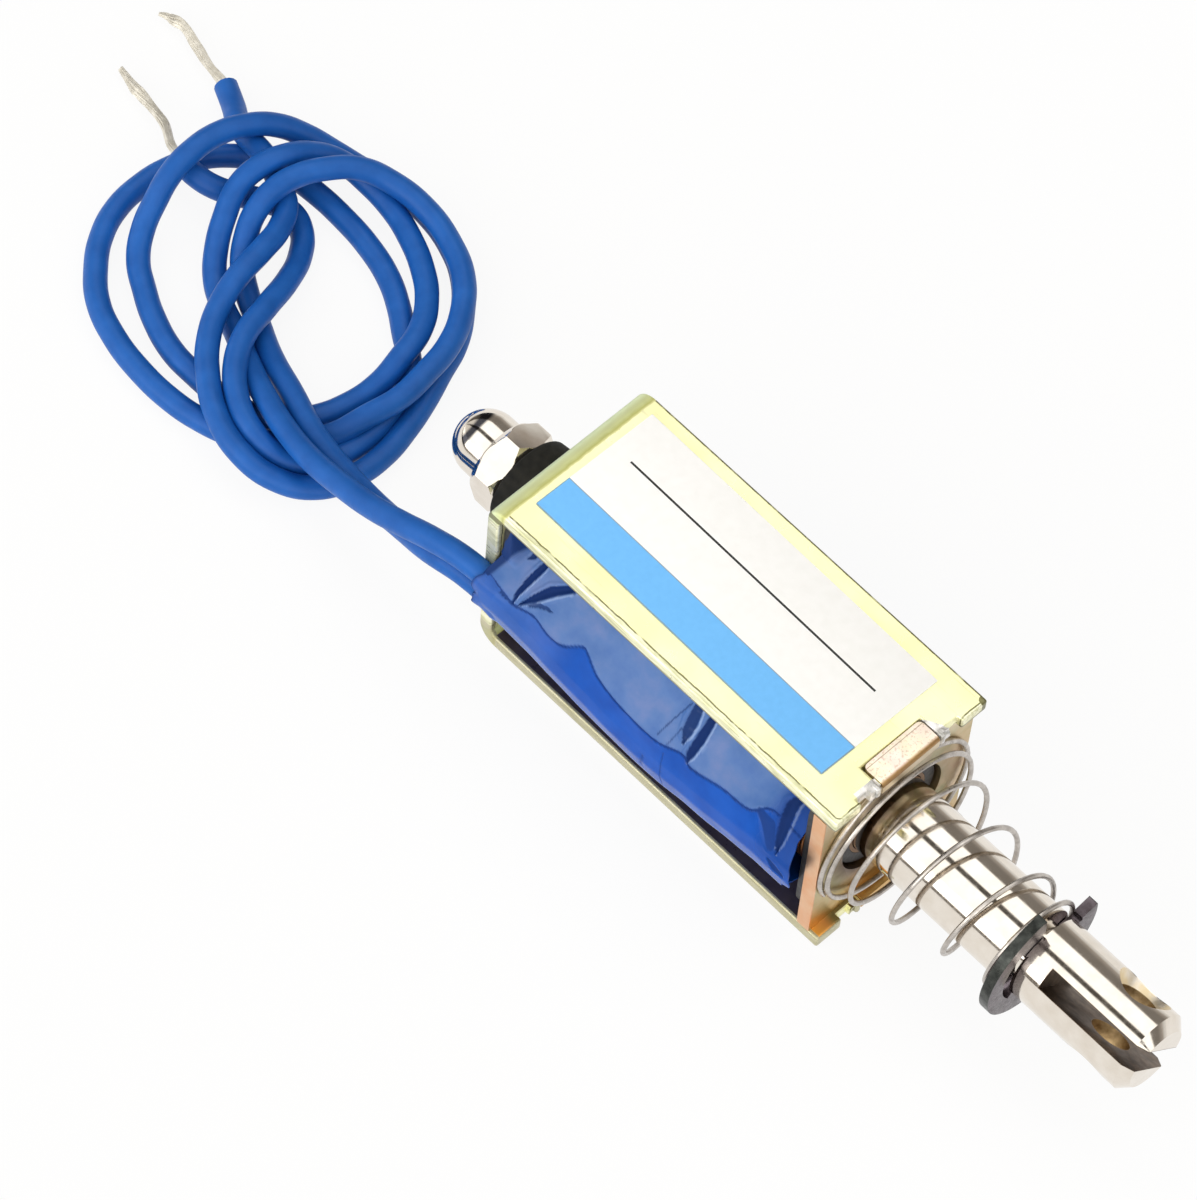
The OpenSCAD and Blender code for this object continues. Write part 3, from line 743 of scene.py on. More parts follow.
def black_oxide():
    """Oiled black finish with a faint purple cast, darker on the clip's rim."""
    paint = Finish("black_oxide", (0.05, 0.043, 0.047), 0.3, 0.7)
    y, z = paint.axes(paint.mapped((0, 0, axis_z)))[1:]
    face = paint.cloud((0.06, 0.045, 0.05), (0.15, 0.125, 0.14), 1.2, 4)
    rim = paint.cloud((0.016, 0.018, 0.016), (0.06, 0.065, 0.058), 2, 4)
    paint.feed(paint.blend(y.distance(z) > clip_r - 0.05, face, rim), "Base Color")
    paint.feed(paint.cloud(0.22, 0.4, 3), "Roughness")
    paint.bumps((paint.grain(6), 0.15, 0.015))
    return paint.material


def bright_nickel():
    """Polished nickel plating with faint grinding marks, dull and brown in the slot, and in the cross hole
    painted with shade deeper in and light at its mouth.
    """
    paint = Finish("bright_nickel", (0.74, 0.66, 0.56), 0.1, 1.0)
    x, y, z = paint.axes(paint.mapped((0, 0, axis_z), (clevis_turn, 0, 0)))
    edge = 0.03
    slot = (abs(z) < slot_w / 2 + edge) * (x > plunger_high.x - slot_len - edge)
    off = (x - (plunger_high.x - pin_from_end)).distance(y)
    hole = off < pin_d / 2 + edge / 2
    beyond = (y.distance(z) - (plunger_r - edge)).most(off - (pin_d / 2 + pin_sink + edge))
    sunk = (beyond < 0) * (abs(z) > slot_w)
    plated = paint.cloud((0.74, 0.67, 0.58), (0.82, 0.76, 0.68), 0.8)
    # Darker brown inside the slot
    slot_brown = paint.cloud((0.1, 0.07, 0.045), (0.23, 0.165, 0.115), 1.4, 4)
    # Painted light and shade in the cross hole: brown deeper in, pale near its mouth
    hole_light_and_shade = paint.cloud((0.2, 0.125, 0.055), (0.5, 0.36, 0.19), 1.6, 4)
    mouth = paint.ramp(abs(z) * 0.3, (0.7, 0.0), (0.86, 1.0))
    hole_light_and_shade = paint.blend(mouth, hole_light_and_shade, (0.86, 0.78, 0.64))
    golden = paint.ramp(paint.grain(0.9), (0.35, (0.84, 0.7, 0.46)), (0.6, (0.9, 0.83, 0.74)))
    colour = paint.blend(sunk, paint.blend(slot, plated, slot_brown), golden)
    paint.feed(paint.blend(hole, colour, hole_light_and_shade), "Base Color")
    polish = paint.ramp(paint.grain(2.5, 4), (0.35, 0.06), (0.75, 0.16))
    paint.feed(slot.most(hole).most(sunk).scaled(0.35, polish), "Roughness")
    paint.bumps((paint.grain(2, 3, (4, 0.4, 0.4)), 0.06, 0.01), (paint.grain(9, 2), 0.03, 0.005))
    return paint.material


def black_rubber():
    paint = Finish("black_rubber", (0.01, 0.01, 0.009), 0.75, Specular_IOR_Level=0.25)
    paint.feed(paint.cloud((0.006, 0.006, 0.005), (0.018, 0.017, 0.014), 2, 4), "Base Color")
    paint.feed(paint.cloud(0.65, 0.85, 4), "Roughness")
    paint.bumps((paint.grain(9, 4), 0.3, 0.02))
    return paint.material


# Pieces


def bent_frame():
    """One sheet bent twice: label plate, rear plate and base plate, staked over the front plate's tabs."""
    piece = block("bent_frame", frame_low, frame_high)
    near = 0.01
    bevel_edges(piece, lambda middle, along: middle.x < frame_low.x + near and abs(along.y) > 0.9, bend_r, 10)
    edit(piece)
    pick_faces(piece, lambda centre, normal: normal.x > 0.9 or abs(normal.y) > 0.9)
    bpy.ops.mesh.delete(type="FACE")
    leave()
    apply_modifier(piece, "SOLIDIFY", thickness=sheet_t, offset=-1, use_even_offset=True)
    notch = tab_w / 2 + play + tab_gap
    pocket_y = tab_w / 2 + play + stake_depth
    for z in (-1, frame_high.z - sheet_t - 0.5):
        top = z + sheet_t + 1.5
        cut(piece, block("notch", (plate_low.x - tab_gap, -notch, z), (frame_high.x + 1, notch, top)))
        for side in (-1, 1):
            y0, y1 = sorted((side * pocket_y, side * (pocket_y + stake_w)))
            cut(piece, block("pocket", (frame_high.x - stake_depth, y0, z), (frame_high.x + 1, y1, top)))
    for side in (-1, 1):
        cut(piece, post("base_hole", base_hole_d / 2, 4, (side * base_hole_pitch / 2, 0, 0)))
    cut(piece, rod("rivet_hole", frame_low.x - 1, frame_low.x + sheet_t + 0.5, rivet_hole_d / 2))
    round_edges(piece, frame_edge_r, 4)
    lumps = []
    for z in (frame_low.z, frame_high.z - sheet_t):
        for (low, high), seed, rear_share in ((right_lump, 3, 0.2), (left_lump, 7, 1)):
            low, high = (*low, z + lump_inset), (*high, z + sheet_t - lump_inset)
            lumps.append(staked_lump(low, high, seed + z, rear_share))
    return join("bent_frame", piece, *lumps)


def staked_lump(low, high, seed, rear_share):
    """Sheet metal crushed over one end of a tab, narrowed to a share of its width at the rear."""
    lump = block("staked_lump", low, high)
    edit(lump)
    pick_all()
    bpy.ops.mesh.subdivide(number_cuts=7)
    leave()
    for vertex in lump.data.vertices:
        place = vertex.co * 1.2 + Vector((seed, 0, 0))
        ahead = (vertex.co.x - low[0]) / (high[0] - low[0])
        vertex.co.y = low[1] + (vertex.co.y - low[1]) * (rear_share + (1 - rear_share) * ahead)
        vertex.co += lump_crush * noise.noise_vector(place)
        vertex.co.z = min(max(vertex.co.z, frame_low.z), frame_high.z + label_t)
    return lump


def tabbed_plate():
    """The front plate with its two tabs and the round hole."""
    near = 0.01
    piece = block("tabbed_plate", (plate_low.x, plate_low.y, sheet_t),
                  (plate_high.x, plate_high.y, frame_high.z - sheet_t))
    tab = block("tab", (plate_low.x, -tab_w / 2, 0), (plate_high.x, tab_w / 2, frame_high.z))
    bevel_edges(tab, lambda middle, along: abs(along.z) > 0.9 and middle.x < plate_low.x + near,
                tab_corner_r, 5)
    cut(piece, tab, "UNION")
    for z, edge_z in ((0, 0), (frame_high.z - sheet_t, frame_high.z)):
        lip = block("lip", (plate_high.x - 0.5, -tab_w / 2, z),
                    (plate_high.x + tab_lip, tab_w / 2, z + sheet_t))
        bevel_edges(lip, lambda middle, along: abs(along.y) > 0.9 and middle.x > plate_high.x
                    and abs(middle.z - edge_z) < near, tab_lip_r, 6)
        cut(piece, lip, "UNION")
    cut(piece, rod("hole", plate_low.x - 1, plate_high.x + 1, plate_hole_r))
    round_edges(piece, plate_edge_r, 3)
    return piece


def bobbin_moulding():
    """Two flanges with round corners, the tube between them and the nose in the front plate's hole."""
    half_w = bobbin_high.y
    parts = []
    for x in (bobbin_low.x, plate_low.x - flange_t):
        flange = block("flange", (x, -half_w, bobbin_low.z), (x + flange_t, half_w, bobbin_high.z))
        bevel_edges(flange, lambda middle, along: abs(along.x) > 0.9, flange_corner_r, 6)
        cut(flange, rod("bore", x - 1, x + flange_t + 1, bobbin_bore_r))
        round_edges(flange, flange_edge_r, 2)
        parts.append(flange)
    tube = turned("tube", [(bobbin_low.x, bobbin_bore_r), (bobbin_low.x, bobbin_bore_r + tube_t),
                           (plate_low.x, bobbin_bore_r + tube_t), (plate_low.x, nose_r),
                           (bobbin_high.x - nose_edge, nose_r), (bobbin_high.x, nose_r - nose_edge),
                           (bobbin_high.x, bobbin_bore_r), (bobbin_low.x, bobbin_bore_r)])
    return join("bobbin_moulding", tube, *parts)


def stuck_label():
    piece = block("stuck_label", (-label_len / 2, -label_w / 2, 0), (label_len / 2, label_w / 2, label_t))
    bevel_edges(piece, lambda middle, along: abs(along.z) > 0.9, label_corner_r, 3)
    round_edges(piece, label_edge_r, 2)
    turn = Matrix.Rotation(math.radians(label_skew), 4, "Z")
    piece.data.transform(Matrix.Translation((*label_at, frame_high.z)) @ turn)
    return piece


def ease(u):
    return u * u * (3 - 2 * u)


def conical_spring():
    """A tapered helix with closed ends, from the front plate to the clip."""
    steps = round(spring_turns * 48)
    base, tip = plate_high.x + wire_r, clip_low.x - wire_r
    points = []
    for i in range(steps + 1):
        u = i / steps
        share = even_pitch * u + (1 - even_pitch) * ease(u ** pitch_ease)
        radius = (spring_base_d + (spring_tip_d - spring_base_d) * ease(u)) / 2 - wire_r
        a = math.radians(first_turn - 360 * spring_turns * u)
        points.append((base + (tip - base) * share, radius * math.cos(a), axis_z + radius * math.sin(a)))
    for i in range(1, 9):
        b = a - math.radians(spring_hook * i / 8)
        points.append((tip, radius * math.cos(b), axis_z + radius * math.sin(b)))
    return wire("conical_spring", points, wire_r, 3)


def round_line(name, kind, radius, roundness):
    """A round curve with closed ends, and its empty spline."""
    line = bpy.data.curves.new(name, "CURVE")
    line.dimensions = "3D"
    line.bevel_depth = radius
    line.bevel_resolution = roundness
    line.use_fill_caps = True
    piece = bpy.data.objects.new(name, line)
    bpy.context.scene.collection.objects.link(piece)
    return piece, line.splines.new(kind)


def wire(name, points, radius, roundness):
    """A round wire through points, as a mesh."""
    piece, spline = round_line(name, "POLY", radius, roundness)
    spline.points.add(len(points) - 1)
    for point, place in zip(spline.points, points):
        point.co = (*place, 1)
    pick(piece)
    bpy.ops.object.convert(target="MESH")
    return bpy.context.active_object


def retaining_clip():
    """Flat ring with three lugs and a mouth, turned to where it was pushed on."""
    relief_r = plunger_r + clip_relief
    lug_turn = mouth_half + lug_behind_mouth
    x0, x1 = clip_low.x, clip_high.x
    piece = rod("retaining_clip", x0, x1, clip_r)
    cut(piece, rod("relief", x0 - 1, x1 + 1, relief_r))
    for a in (180, lug_turn, -lug_turn):
        lug = block("lug", (x0, groove_r - 1, axis_z - lug_w / 2), (x1, relief_r + 0.4, axis_z + lug_w / 2))
        lug.data.transform(about_axis(a))
        cut(piece, lug, "UNION")
    cut(piece, rod("groove_seat", x0 - 1, x1 + 1, groove_r + play))
    reach = 3 * clip_r
    mouth = block("mouth", (x0 - 1, 0, axis_z - reach), (x1 + 1, reach, axis_z + reach))
    edit(mouth)
    for side in (-1, 1):
        pick_all()
        normal = (0, math.sin(math.radians(mouth_half)), -side * math.cos(math.radians(mouth_half)))
        bpy.ops.mesh.bisect(plane_co=(0, 0, axis_z), plane_no=normal, clear_inner=True, use_fill=True)
    leave()
    cut(piece, mouth)
    piece.data.transform(about_axis(clip_turn))
    round_edges(piece, clip_edge_r, 3, 40)
    return piece


def clevis_plunger():
    """Turned plunger with the clip's groove, a slotted clevis end and a countersunk cross hole."""
    rear, front = plunger_low.x, plunger_high.x
    g0, g1 = clip_low.x - play, clip_high.x + play
    piece = turned("clevis_plunger", [(rear, 0), (rear, plunger_r), (g0, plunger_r), (g0, groove_r),
                                      (g1, groove_r), (g1, plunger_r), (front - nose_bevel, plunger_r),
                                      (front, plunger_r - nose_bevel), (front, 0)], 128)
    turn = about_axis(clevis_turn)
    slot = block("slot", (front - slot_len, -plunger_r - 1, axis_z - slot_w / 2),
                 (front + 1, plunger_r + 1, axis_z + slot_w / 2))
    slot.data.transform(turn)
    cut(piece, slot)
    pin_x = front - pin_from_end
    pin_r = pin_d / 2
    hole = post("pin_hole", pin_r, 3 * plunger_r, (pin_x, 0, axis_z))
    hole.data.transform(turn)
    cut(piece, hole)
    for side in (0, 180):
        deselect()
        bpy.ops.mesh.primitive_cone_add(vertices=64, radius1=pin_r, radius2=pin_r + 2 * pin_sink,
                                        depth=2 * pin_sink_depth, location=(pin_x, 0, axis_z + plunger_r))
        sink = take_new("sink")
        sink.data.transform(about_axis(clevis_turn + side))
        cut(piece, sink)
    round_edges(piece, plunger_edge_r, 3, 25)
    return piece


def closed_nut():
    """Hexagon with turned corners under a round dome."""
    base = nut_high.x
    hex_rear = base - nut_hex_h
    flat_r = nut_af / 2
    piece = rod("closed_nut", hex_rear, base, flat_r / math.cos(math.pi / 6), 6)
    piece.data.transform(about_axis(nut_turn - first_corner(piece)))
    # How far the turned corners reach along the hexagon from its ends, and past its flats
    rise = [(-0.1, -0.1), (0.25, 0.1), (0.6, 0.5)]
    rear = [(hex_rear + inward, flat_r + past) for inward, past in rise]
    front = [(base - inward, flat_r + past) for inward, past in reversed(rise)]
    corners = turned("corners", [(rear[0][0], 0), *rear, *front, (front[-1][0], 0)], 72)
    cut(piece, corners, "INTERSECT")
    round_edges(piece, nut_edge_r, 2, 25)
    centre = nut_low.x + dome_r
    dome = turned("dome", [(hex_rear + 0.4, 0), (hex_rear + 0.4, dome_r), (hex_rear - 0.05, dome_r + 0.12)]
                  + [(hex_rear - 0.12, dome_r)] + arc(centre, 0, dome_r, 90, 180, 24), 96)
    return join("closed_nut", piece, dome)


def first_corner(piece):
    """The angle of one corner of a hexagon about the plunger's axis, from +Y, in degrees."""
    corner = max(piece.data.vertices, key=lambda v: v.co.y).co
    return math.degrees(math.atan2(corner.z - axis_z, corner.y))


def stop_washer():
    """Rubber washer with soft rims and a slight bulge."""
    x0, x1, rim = washer_low.x, washer_high.x, washer_rim_r
    outline = [(x0, rod_r), (x0, washer_r - rim)]
    outline += [(x, r - washer_bulge) for x, r in arc(x0 + rim, washer_r - rim, rim, 180, 90, 5)[1:]]
    outline += [((x0 + x1) / 2, washer_r)]
    outline += [(x, r - washer_bulge) for x, r in arc(x1 - rim, washer_r - rim, rim, 90, 0, 5)]
    outline += [(x1, rod_r), (x0, rod_r)]
    return turned("stop_washer", outline, 72)


def smooth_path(points, steps):
    """Points along a smooth curve through given ones."""
    p = [Vector(point) for point in points]
    p = [2 * p[0] - p[1], *p, 2 * p[-1] - p[-2]]
    path = []
    for a, b, c, d in zip(p, p[1:], p[2:], p[3:]):
        for i in range(steps):
            t = i / steps
            path.append(0.5 * (2 * b + (c - a) * t + (2 * a - 5 * b + 4 * c - d) * t * t
                               + (3 * b - a - 3 * c + d) * t ** 3))
    return path + [p[-2]]


def bare_strands(name, route, opening, seed):
    """Tinned strands in a bundle with little twist, opening before the tip."""
    path = smooth_path(route, 14)
    count = len(path)
    strands = []
    for k in range(strand_count):
        points = []
        for i, centre in enumerate(path):
            u = i / (count - 1)
            ahead = (path[min(i + 1, count - 1)] - path[max(i - 1, 0)]).normalized()
            side = ahead.cross(Vector((0, 0, 1))).normalized()
            up = side.cross(ahead)
            spread = along(opening, u)
            a = 2 * math.pi * (k / strand_count + 0.4 * u) + seed
            kink = 0.09 * noise.noise(Vector((6 * u, seed, 0.4 * k)))
            place = centre + side * (spread * math.cos(a) + kink) + up * spread * math.sin(a)
            place.z = max(place.z, strand_lowest)
            points.append(place)
        short = round(count * (1 - 0.04 * ((k * 3) % 4)))
        strands.append(wire("strand", points[:short], strand_r, 1))
    return join(name, *strands)


def tape_wrap():
    """Film tape round the winding and the leads on its side, with a crease, folds and a loose rear sleeve."""
    around = sheet_of("tape_wrap_film", 220, 180)
    crease = smooth_path(CREASE, 12)
    paths = [smooth_path(route[:9], 14) for route in (LEAD_A, LEAD_B)]
    # Painted shade: a thin dark line along the crease, just off the ridge
    crease_shade_line = [(x, math.degrees(math.atan2(z - axis_z, y)) + 0.7, 0.09) for x, y, z in crease]
    folds = [*FOLDS, (0.75, 0.05, crease_shade_line)]
    fold_and_shade_darkness, sheen_and_slack_values, glints = [], [], []
    sections = {}
    for vertex in around.data.vertices:
        degrees = along([(0, 30), (0.16, 137), (0.84, 211), (1, 390)], vertex.co.y)
        share = along([(0, 0), (0.3, 0.19), (0.5, 0.55), (0.7, 0.68), (0.8, 0.85), (1, 1)], vertex.co.x)
        x = film_rear(degrees) + (film_front(degrees) - film_rear(degrees)) * share
        key = round(x, 2)
        if key not in sections:
            sections[key] = film_section(x, crease, paths)
        outline, ridge = sections[key]
        r = reach(outline, math.radians(degrees))
        if 130 < degrees < 200:
            over_flange = (bobbin_high.y + 0.2) / -math.cos(math.radians(degrees))
            r += ease(along([(-13.15, 1), (-12.5, 0)], x)) * max(0, over_flange - r)
        dark, lift, glint = fold_at(folds, x, degrees)
        # Painted shade behind the rear edge, where the film's rim turns down
        dark = max(dark, along([(-0.2, 0.9), (0, 0)], x - film_edge(degrees)))
        r += lift + 0.05 * noise.noise(Vector((0.4 * x, 0.06 * degrees, 3)))
        far = along([(110, 1), (130, 0), (215, 0), (240, 1)], degrees)
        overlap = 0.06 * (330 < degrees + 0.6 * x)
        r += far * (0.1 * noise.noise(Vector((0.25 * x, 0.03 * degrees, 8))) + overlap)
        shade = along([(9.4, 0), (10.8, 0.45)], x) * along([(176, 1), (188, 0)], degrees)
        fold_and_shade_darkness.append(max(dark, shade))
        glints.append(glint)
        # Painted sheen above the crease, and on a patch at the rear
        above = along([(-0.8, 1), (0.8, 0)], degrees - ridge)
        above = max(above, along([(-11, 0.4), (-6, 0)], x))
        sheen_and_slack_values.append(above * along([(9.4, 1), (10.6, 0)], x))
        place = math.radians(degrees)
        vertex.co = (x, r * math.cos(place), axis_z + r * math.sin(place))
    keep_values(around, "fold", fold_and_shade_darkness)
    keep_values(around, "sheen_and_slack", sheen_and_slack_values)
    keep_values(around, "glint", glints)
    return weld_film(join("tape_wrap_film", around, rear_sleeve(paths)))


def film_section(x, crease, paths):
    """The film's taut outline at x round the winding, the crease and the leads, and the crease's angle."""
    leads = [section_at(path, x) for path in paths]
    between = [(a + b) / 2 for a, b in zip(*leads)]
    ridge_y, ridge_z = section_at(crease, x)
    rings = [(0, 0, film_coil_r), (ridge_y, ridge_z, film_crease_r), (*between, film_between_r)]
    rings += [(*lead, film_lead_r) for lead in leads]
    return taut_outline(rings), math.degrees(math.atan2(ridge_z, ridge_y))


def sheet_of(name, along_count, across_count):
    """A flat sheet of small squares, from 0 to 1 along X and Y."""
    deselect()
    bpy.ops.mesh.primitive_grid_add(x_subdivisions=along_count, y_subdivisions=across_count, size=1,
                                    location=(0.5, 0.5, 0))
    return take_new(name)


def rear_sleeve(paths):
    """The tape's end round both leads behind the coil, with a torn rim."""
    sleeve = sheet_of("rear_sleeve", 48, 64)
    start = -11.8
    fold_and_shade_darkness = []
    for vertex in sleeve.data.vertices:
        u, turn = vertex.co.x, 2 * math.pi * vertex.co.y
        rim = Vector((1.6 * math.cos(turn), 1.6 * math.sin(turn), 0))
        x = start + (-14.2 - start + 0.55 * noise.noise(rim)) * u
        rings = [(*section_at(path, x), film_lead_r + 0.04) for path in paths]
        mid_y, mid_z = (sum(ring[k] for ring in rings) / 2 for k in (0, 1))
        outline = taut_outline([(y - mid_y, z - mid_z, r) for y, z, r in rings])
        wrinkle = noise.noise(Vector((1.3 * x, 1.7 * math.cos(turn), 2 * turn)))
        r = reach(outline, turn + 0.001) + 0.09 * wrinkle
        r += 0.12 * max(0, u - 0.8) - 0.2 * max(0, 1 - u / 0.4)
        # Painted shade on the sleeve's torn end, where the leads leave it
        fold_and_shade_darkness.append(0.8 * max(0, u - 0.92) / 0.08)
        vertex.co = (x, mid_y + r * math.cos(turn), axis_z + mid_z + r * math.sin(turn))
    keep_values(sleeve, "fold", fold_and_shade_darkness)
    # The sleeve takes some of the painted sheen
    keep_values(sleeve, "sheen_and_slack", [0.35] * len(fold_and_shade_darkness))
    return sleeve


def keep_values(piece, name, values):
    """Keeps a value at each point of a piece, for its finish."""
    layer = piece.data.attributes.new(name, "FLOAT", "POINT")
    for item, value in zip(layer.data, values):
        item.value = value


def along(stops, t):
    """A value between stops of (t, value), held before the first and after the last."""
    t = min(max(t, stops[0][0]), stops[-1][0])
    for (t0, v0), (t1, v1) in zip(stops, stops[1:]):
        if t <= t1:
            break
    return v0 + (v1 - v0) * (t - t0) / (t1 - t0)


def film_rear(degrees):
    """The rear end, longer where the film climbs over the bobbin's flange."""
    longer = along([(134, 0), (142, 0.35), (152, 0.65), (168, 0.8), (174, 0.6), (184, 0)], degrees)
    return winding_low.x - longer - 0.1 * noise.noise(Vector((0.15 * degrees, 0, 0)))


def film_edge(degrees):
    """Where the film is painted dark behind its rear edge, as the shade of its rim turning down, or far
    behind it where it isn't.
    """
    nowhere = -20
    return along([(120, nowhere), (124, -12.3), (138, -12.3), (146, -12.75), (156, -13.2), (168, -13.6),
                  (174, -13.8), (182, nowhere)], degrees)


def film_front(degrees):
    """The front end, with the tape's torn tip below the crease."""
    tip = along([(164, 0), (178, 0.6), (188, 0.85), (191, 0.1), (400, 0)], degrees)
    return winding_high.x + tip - 0.08 - 0.08 * noise.noise(Vector((0.2 * degrees, 5, 0)))


def fold_at(folds, x, degrees):
    """How dark the film is painted at a place, as the shade and doubled film of a fold, how far a fold's
    valley or lip moves it, and how much painted highlight its lip gets.
    """
    dark, lift, glint = 0.0, 0.0, 0.0
    rim, lip, shine = 0.16, 1.8, 1.5
    if not 138 < degrees < 210:
        return dark, lift, glint
    here = Vector((x, degrees * fold_mm))
    for amount, depth, points in folds:
        if not points[0][0] - 2 < x < points[-1][0] + 2 and not points[-1][0] - 2 < x < points[0][0] + 2:
            continue
        for (x0, d0, w0), (x1, d1, w1) in zip(points, points[1:]):
            if not min(x0, x1) - 1 < x < max(x0, x1) + 1:
                continue
            start, end = Vector((x0, d0 * fold_mm)), Vector((x1, d1 * fold_mm))
            run = end - start
            t = min(max((here - start).dot(run) / run.length_squared, 0), 1)
            aside = here - start - t * run
            share = aside.length / (w0 + (w1 - w0) * t)
            if share < 1:
                dark = max(dark, amount * min(1, (1 - share) / rim))
                lift = min(lift, -depth * (1 - share * share) ** 2)
            elif share < lip and lift >= 0:
                lift = max(lift, 0.35 * depth * math.sin(math.pi * (share - 1) / (lip - 1)))
                # A painted highlight on one side of a deep fold's lip
                if depth > 0.1 and share < shine and aside.x > 0:
                    glint = max(glint, 0.7 * math.sin(math.pi * (share - 1) / (shine - 1)))
    return dark, lift, glint


def section_at(path, x):
    """Where a path lies at x, about the plunger's axis."""
    ends = sorted((path[0].x, path[-1].x))
    x = min(max(x, ends[0]), ends[1])
    for p, q in zip(path, path[1:]):
        if (p.x - x) * (q.x - x) <= 0 and p.x != q.x:
            break
    place = p + (q - p) * min(max((x - p.x) / (q.x - p.x), 0), 1)
    return place.y, place.z - axis_z


def taut_outline(rings):
    """The outline pulled tight round rings of (y, z, radius), as points in order."""
    points = sorted((y + r * math.cos(i * math.pi / 36), z + r * math.sin(i * math.pi / 36))
                    for y, z, r in rings for i in range(72))
    return half_hull(points) + half_hull(points[::-1])


def half_hull(points):
    kept = []
    for p in points:
        while len(kept) > 1 and turn_of(kept[-2], kept[-1], p) <= 0:
            kept.pop()
        kept.append(p)
    return kept[:-1]


def turn_of(a, b, c):
    return (b[0] - a[0]) * (c[1] - a[1]) - (b[1] - a[1]) * (c[0] - a[0])


def reach(outline, a):
    """How far an outline lies from the axis at an angle."""
    dy, dz = math.cos(a), math.sin(a)
    for (y0, z0), (y1, z1) in zip(outline, outline[1:] + outline[:1]):
        c0 = dy * z0 - dz * y0
        c1 = dy * z1 - dz * y1
        if c0 <= 0 < c1 or c1 <= 0 < c0:
            t = c0 / (c0 - c1)
            r = (y0 + t * (y1 - y0)) * dy + (z0 + t * (z1 - z0)) * dz
            if r > 0:
                return r
    return 0


def weld_film(piece):
    edit(piece)
    pick_all()
    bpy.ops.mesh.remove_doubles(threshold=0.005)
    bpy.ops.mesh.normals_make_consistent(inside=False)
    leave()
    apply_modifier(piece, "SOLIDIFY", thickness=film_t, offset=-1)
    return piece


def lead_cord(name, route, finish):
    """A lead along its route, as one smooth round curve."""
    piece, spline = round_line(name, "BEZIER", lead_r * MM, 6)
    spline.bezier_points.add(len(route) - 1)
    for point, place in zip(spline.bezier_points, route):
        point.co = Vector(place) * MM
        point.handle_left_type = "AUTO"
        point.handle_right_type = "AUTO"
    piece.data.resolution_u = 8
    piece.data.materials.append(finish)
    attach(piece, "coil_unit")
    return piece


# Stage: floor, studio light and camera


def pale_floor():
    """A matt floor that keeps the part's shadow, and that the camera and mirrors see as white."""
    deselect()
    bpy.ops.mesh.primitive_plane_add(size=4, location=(0, 0, 0))
    floor = take_new("floor")
    material = bpy.data.materials.new("pale_floor")
    tree = NodeTree(material)
    tree.nodes.clear()
    camera, glossy, through = tree.rays("Camera", "Glossy", "Transmission")
    white_share = 0.9
    share = tree.value("ShaderNodeMath", {0: camera + glossy + through, 1: white_share}, operation="MULTIPLY",
                       use_clamp=True)
    matt = tree.value("ShaderNodeBsdfDiffuse", {"Color": (0.86, 0.86, 0.86, 1)})
    glow = tree.value("ShaderNodeEmission", {"Color": (1, 1, 1, 1), "Strength": 1})
    surface = tree.value("ShaderNodeMixShader", {0: share, 1: matt, 2: glow})
    tree.add("ShaderNodeOutputMaterial", {"Surface": surface})
    floor.data.materials.append(material)


def studio_light():
    """Long soft panels over the part, with dark gaps between them, by the angle about X from +Y."""
    world = bpy.data.worlds.new("studio")
    bpy.context.scene.world = world
    tree = NodeTree(world)
    tree.nodes.clear()
    x, y, z = tree.axes(tree.value("ShaderNodeTexCoord", out="Generated"))
    levels = [(0, 0.75), (7, 0.6), (11, 0.36), (24, 0.2), (48, 0.2), (52, 1.36), (90, 1.36), (92.5, 0.1),
              (102, 0.08), (105, 1.36), (147, 1.36), (151, 2.8), (171, 2.8), (173, 0.2), (180, 0.2)]
    lit, unlit = (1, 0.98, 0.94), (1, 0.9, 0.8)
    stops = []
    for degrees, level in levels:
        tint = lit if level > 0.5 else unlit
        stops.append((degrees / 180, tuple(level * part for part in tint)))
    panels = tree.ramp(z.angle(y) / math.pi, *stops)
    # Towards the rear the panels end, as mirrors show
    room = (0.05, 0.055, 0.075)
    ends = tree.ramp(x * -1, (0.53, (1.15, 1.17, 1.2)), (0.64, room), (0.85, room), (0.93, 0.6))
    camera, glossy = tree.rays("Camera", "Glossy")
    studio = tree.value("ShaderNodeBackground", {"Color": tree.blend(glossy, panels, ends, "MULTIPLY")})
    white = tree.value("ShaderNodeBackground", {"Color": (1, 1, 1, 1)})
    surface = tree.value("ShaderNodeMixShader", {0: camera, 1: studio, 2: white})
    tree.add("ShaderNodeOutputWorld", {"Surface": surface})


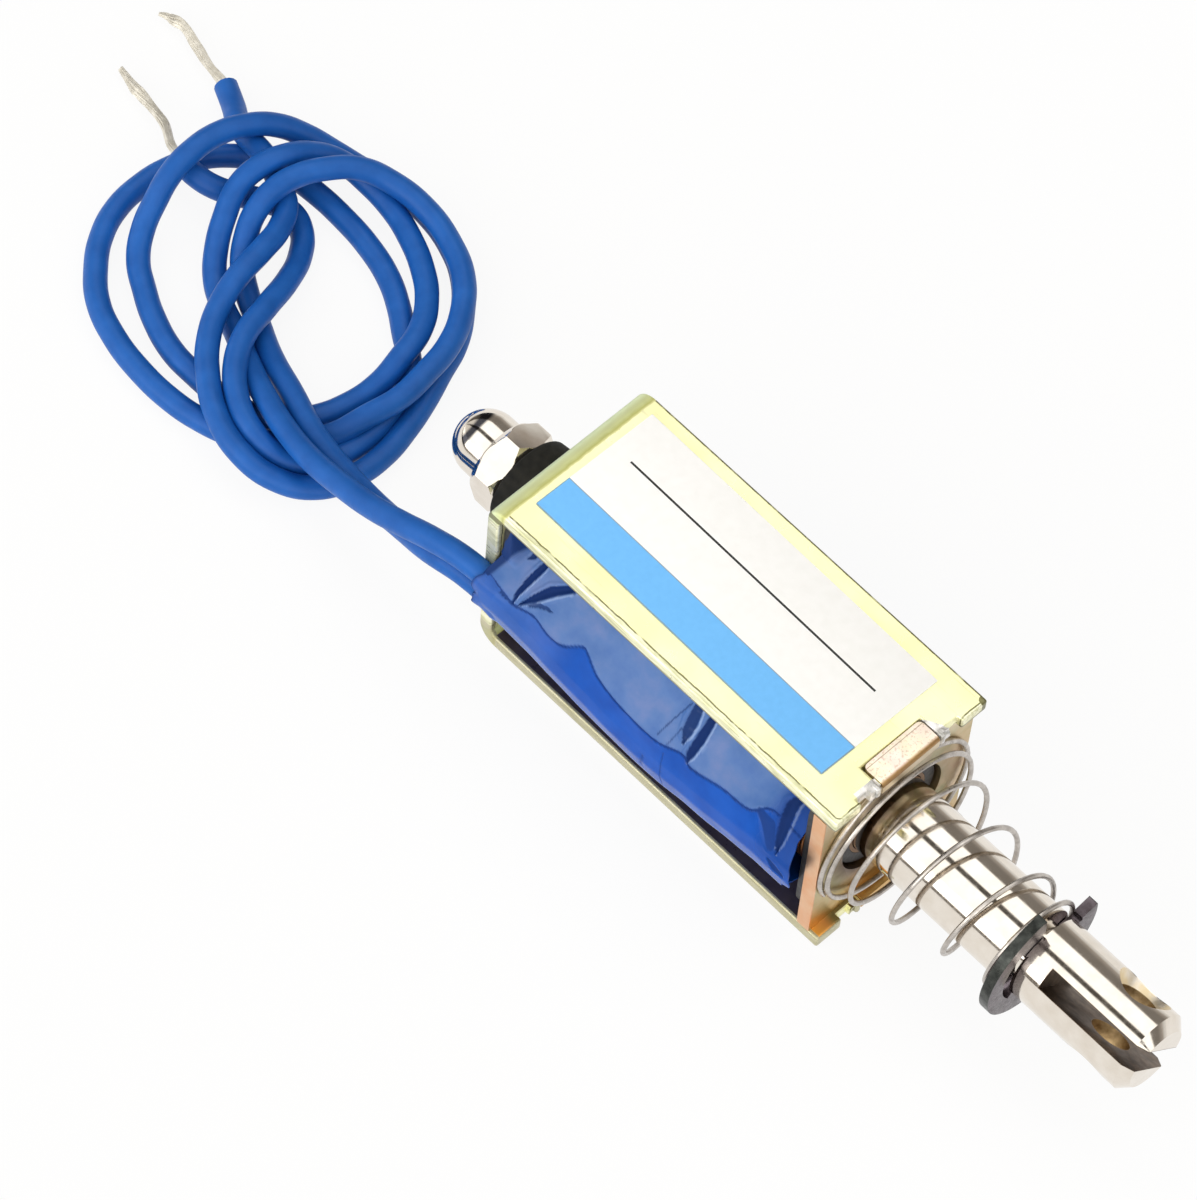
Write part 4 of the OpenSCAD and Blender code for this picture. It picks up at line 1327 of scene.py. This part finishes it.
def photo_camera():
    """The photograph's view: where the camera stands, where it looks and which way is up in the picture."""
    stand = Vector((139.45, -173.07, 386.43)) * MM
    ahead = Vector((-0.33589, 0.38648, -0.85896)).normalized()
    up = Vector((-0.63956, 0.57590, 0.50922))
    right = ahead.cross(up).normalized()
    up = right.cross(ahead)
    lens = bpy.data.cameras.new("photo_camera")
    camera = bpy.data.objects.new("photo_camera", lens)
    bpy.context.scene.collection.objects.link(camera)
    turn = Matrix((right, up, -ahead)).transposed()
    camera.matrix_world = Matrix.Translation(stand) @ turn.to_4x4()
    image_h = 1200
    focal_pixels = 7189
    lens.sensor_fit = "AUTO"
    lens.sensor_width = 36
    lens.lens = focal_pixels * lens.sensor_width / image_h
    lens.clip_start = 0.01
    lens.clip_end = 10
    bpy.context.scene.camera = camera


photo_camera()
pale_floor()
studio_light()
bpy.context.scene.view_settings.view_transform = "Standard"

# Leads and their bare ends
strand = tinned_strand()
insulation = blue_insulation()
bare_a = finish_piece(bare_strands("bare_strands_a", STRANDS_A, OPENING_A, 0.3), strand,
                      nodes=["bare_end_a"])
bare_b = finish_piece(bare_strands("bare_strands_b", STRANDS_B, OPENING_B, 1.9), strand,
                      nodes=["bare_end_b"])
cord_a = lead_cord("lead_a_cord", LEAD_A, insulation)
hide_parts("lead_a", "lead_hank")
cord_b = lead_cord("lead_b_cord", LEAD_B, insulation)
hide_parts("lead_b")

# Pieces of the coil unit
finish_piece(bent_frame(), yellow_zinc(), nodes=["frame"])
finish_piece(tabbed_plate(), gold_passivation(), nodes=["front_plate"])
finish_piece(bobbin_moulding(), black_moulding(), nodes=["bobbin"])
finish_piece(stuck_label(), printed_label(), nodes=["label"])
finish_piece(tape_wrap(), blue_film(), nodes=["tape_wrap"])
spring = finish_piece(conical_spring(), spring_steel(), nodes=["return_spring"])
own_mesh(spring)

# Pieces that move
nickel = bright_nickel()
finish_piece(retaining_clip(), black_oxide(), "clip_ring", ["e_clip"])
finish_piece(clevis_plunger(), nickel, "plunger_unit", ["plunger"], 25)
finish_piece(closed_nut(), nickel, "plunger_unit", ["dome_nut"], 25)
finish_piece(stop_washer(), black_rubber(), "plunger_unit", ["rubber_washer"])

# CAD nodes that show as they are
shown_nodes = {"fixed_core": turned_steel(), "push_rod": turned_steel(), "guide_tube": shade_darkened_brass(),
               "coil_winding": enamelled_copper(), "splice_a": dull_solder(), "splice_b": dull_solder()}
for name, finish in shown_nodes.items():
    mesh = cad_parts[name].data
    mesh.materials.clear()
    mesh.materials.append(finish)
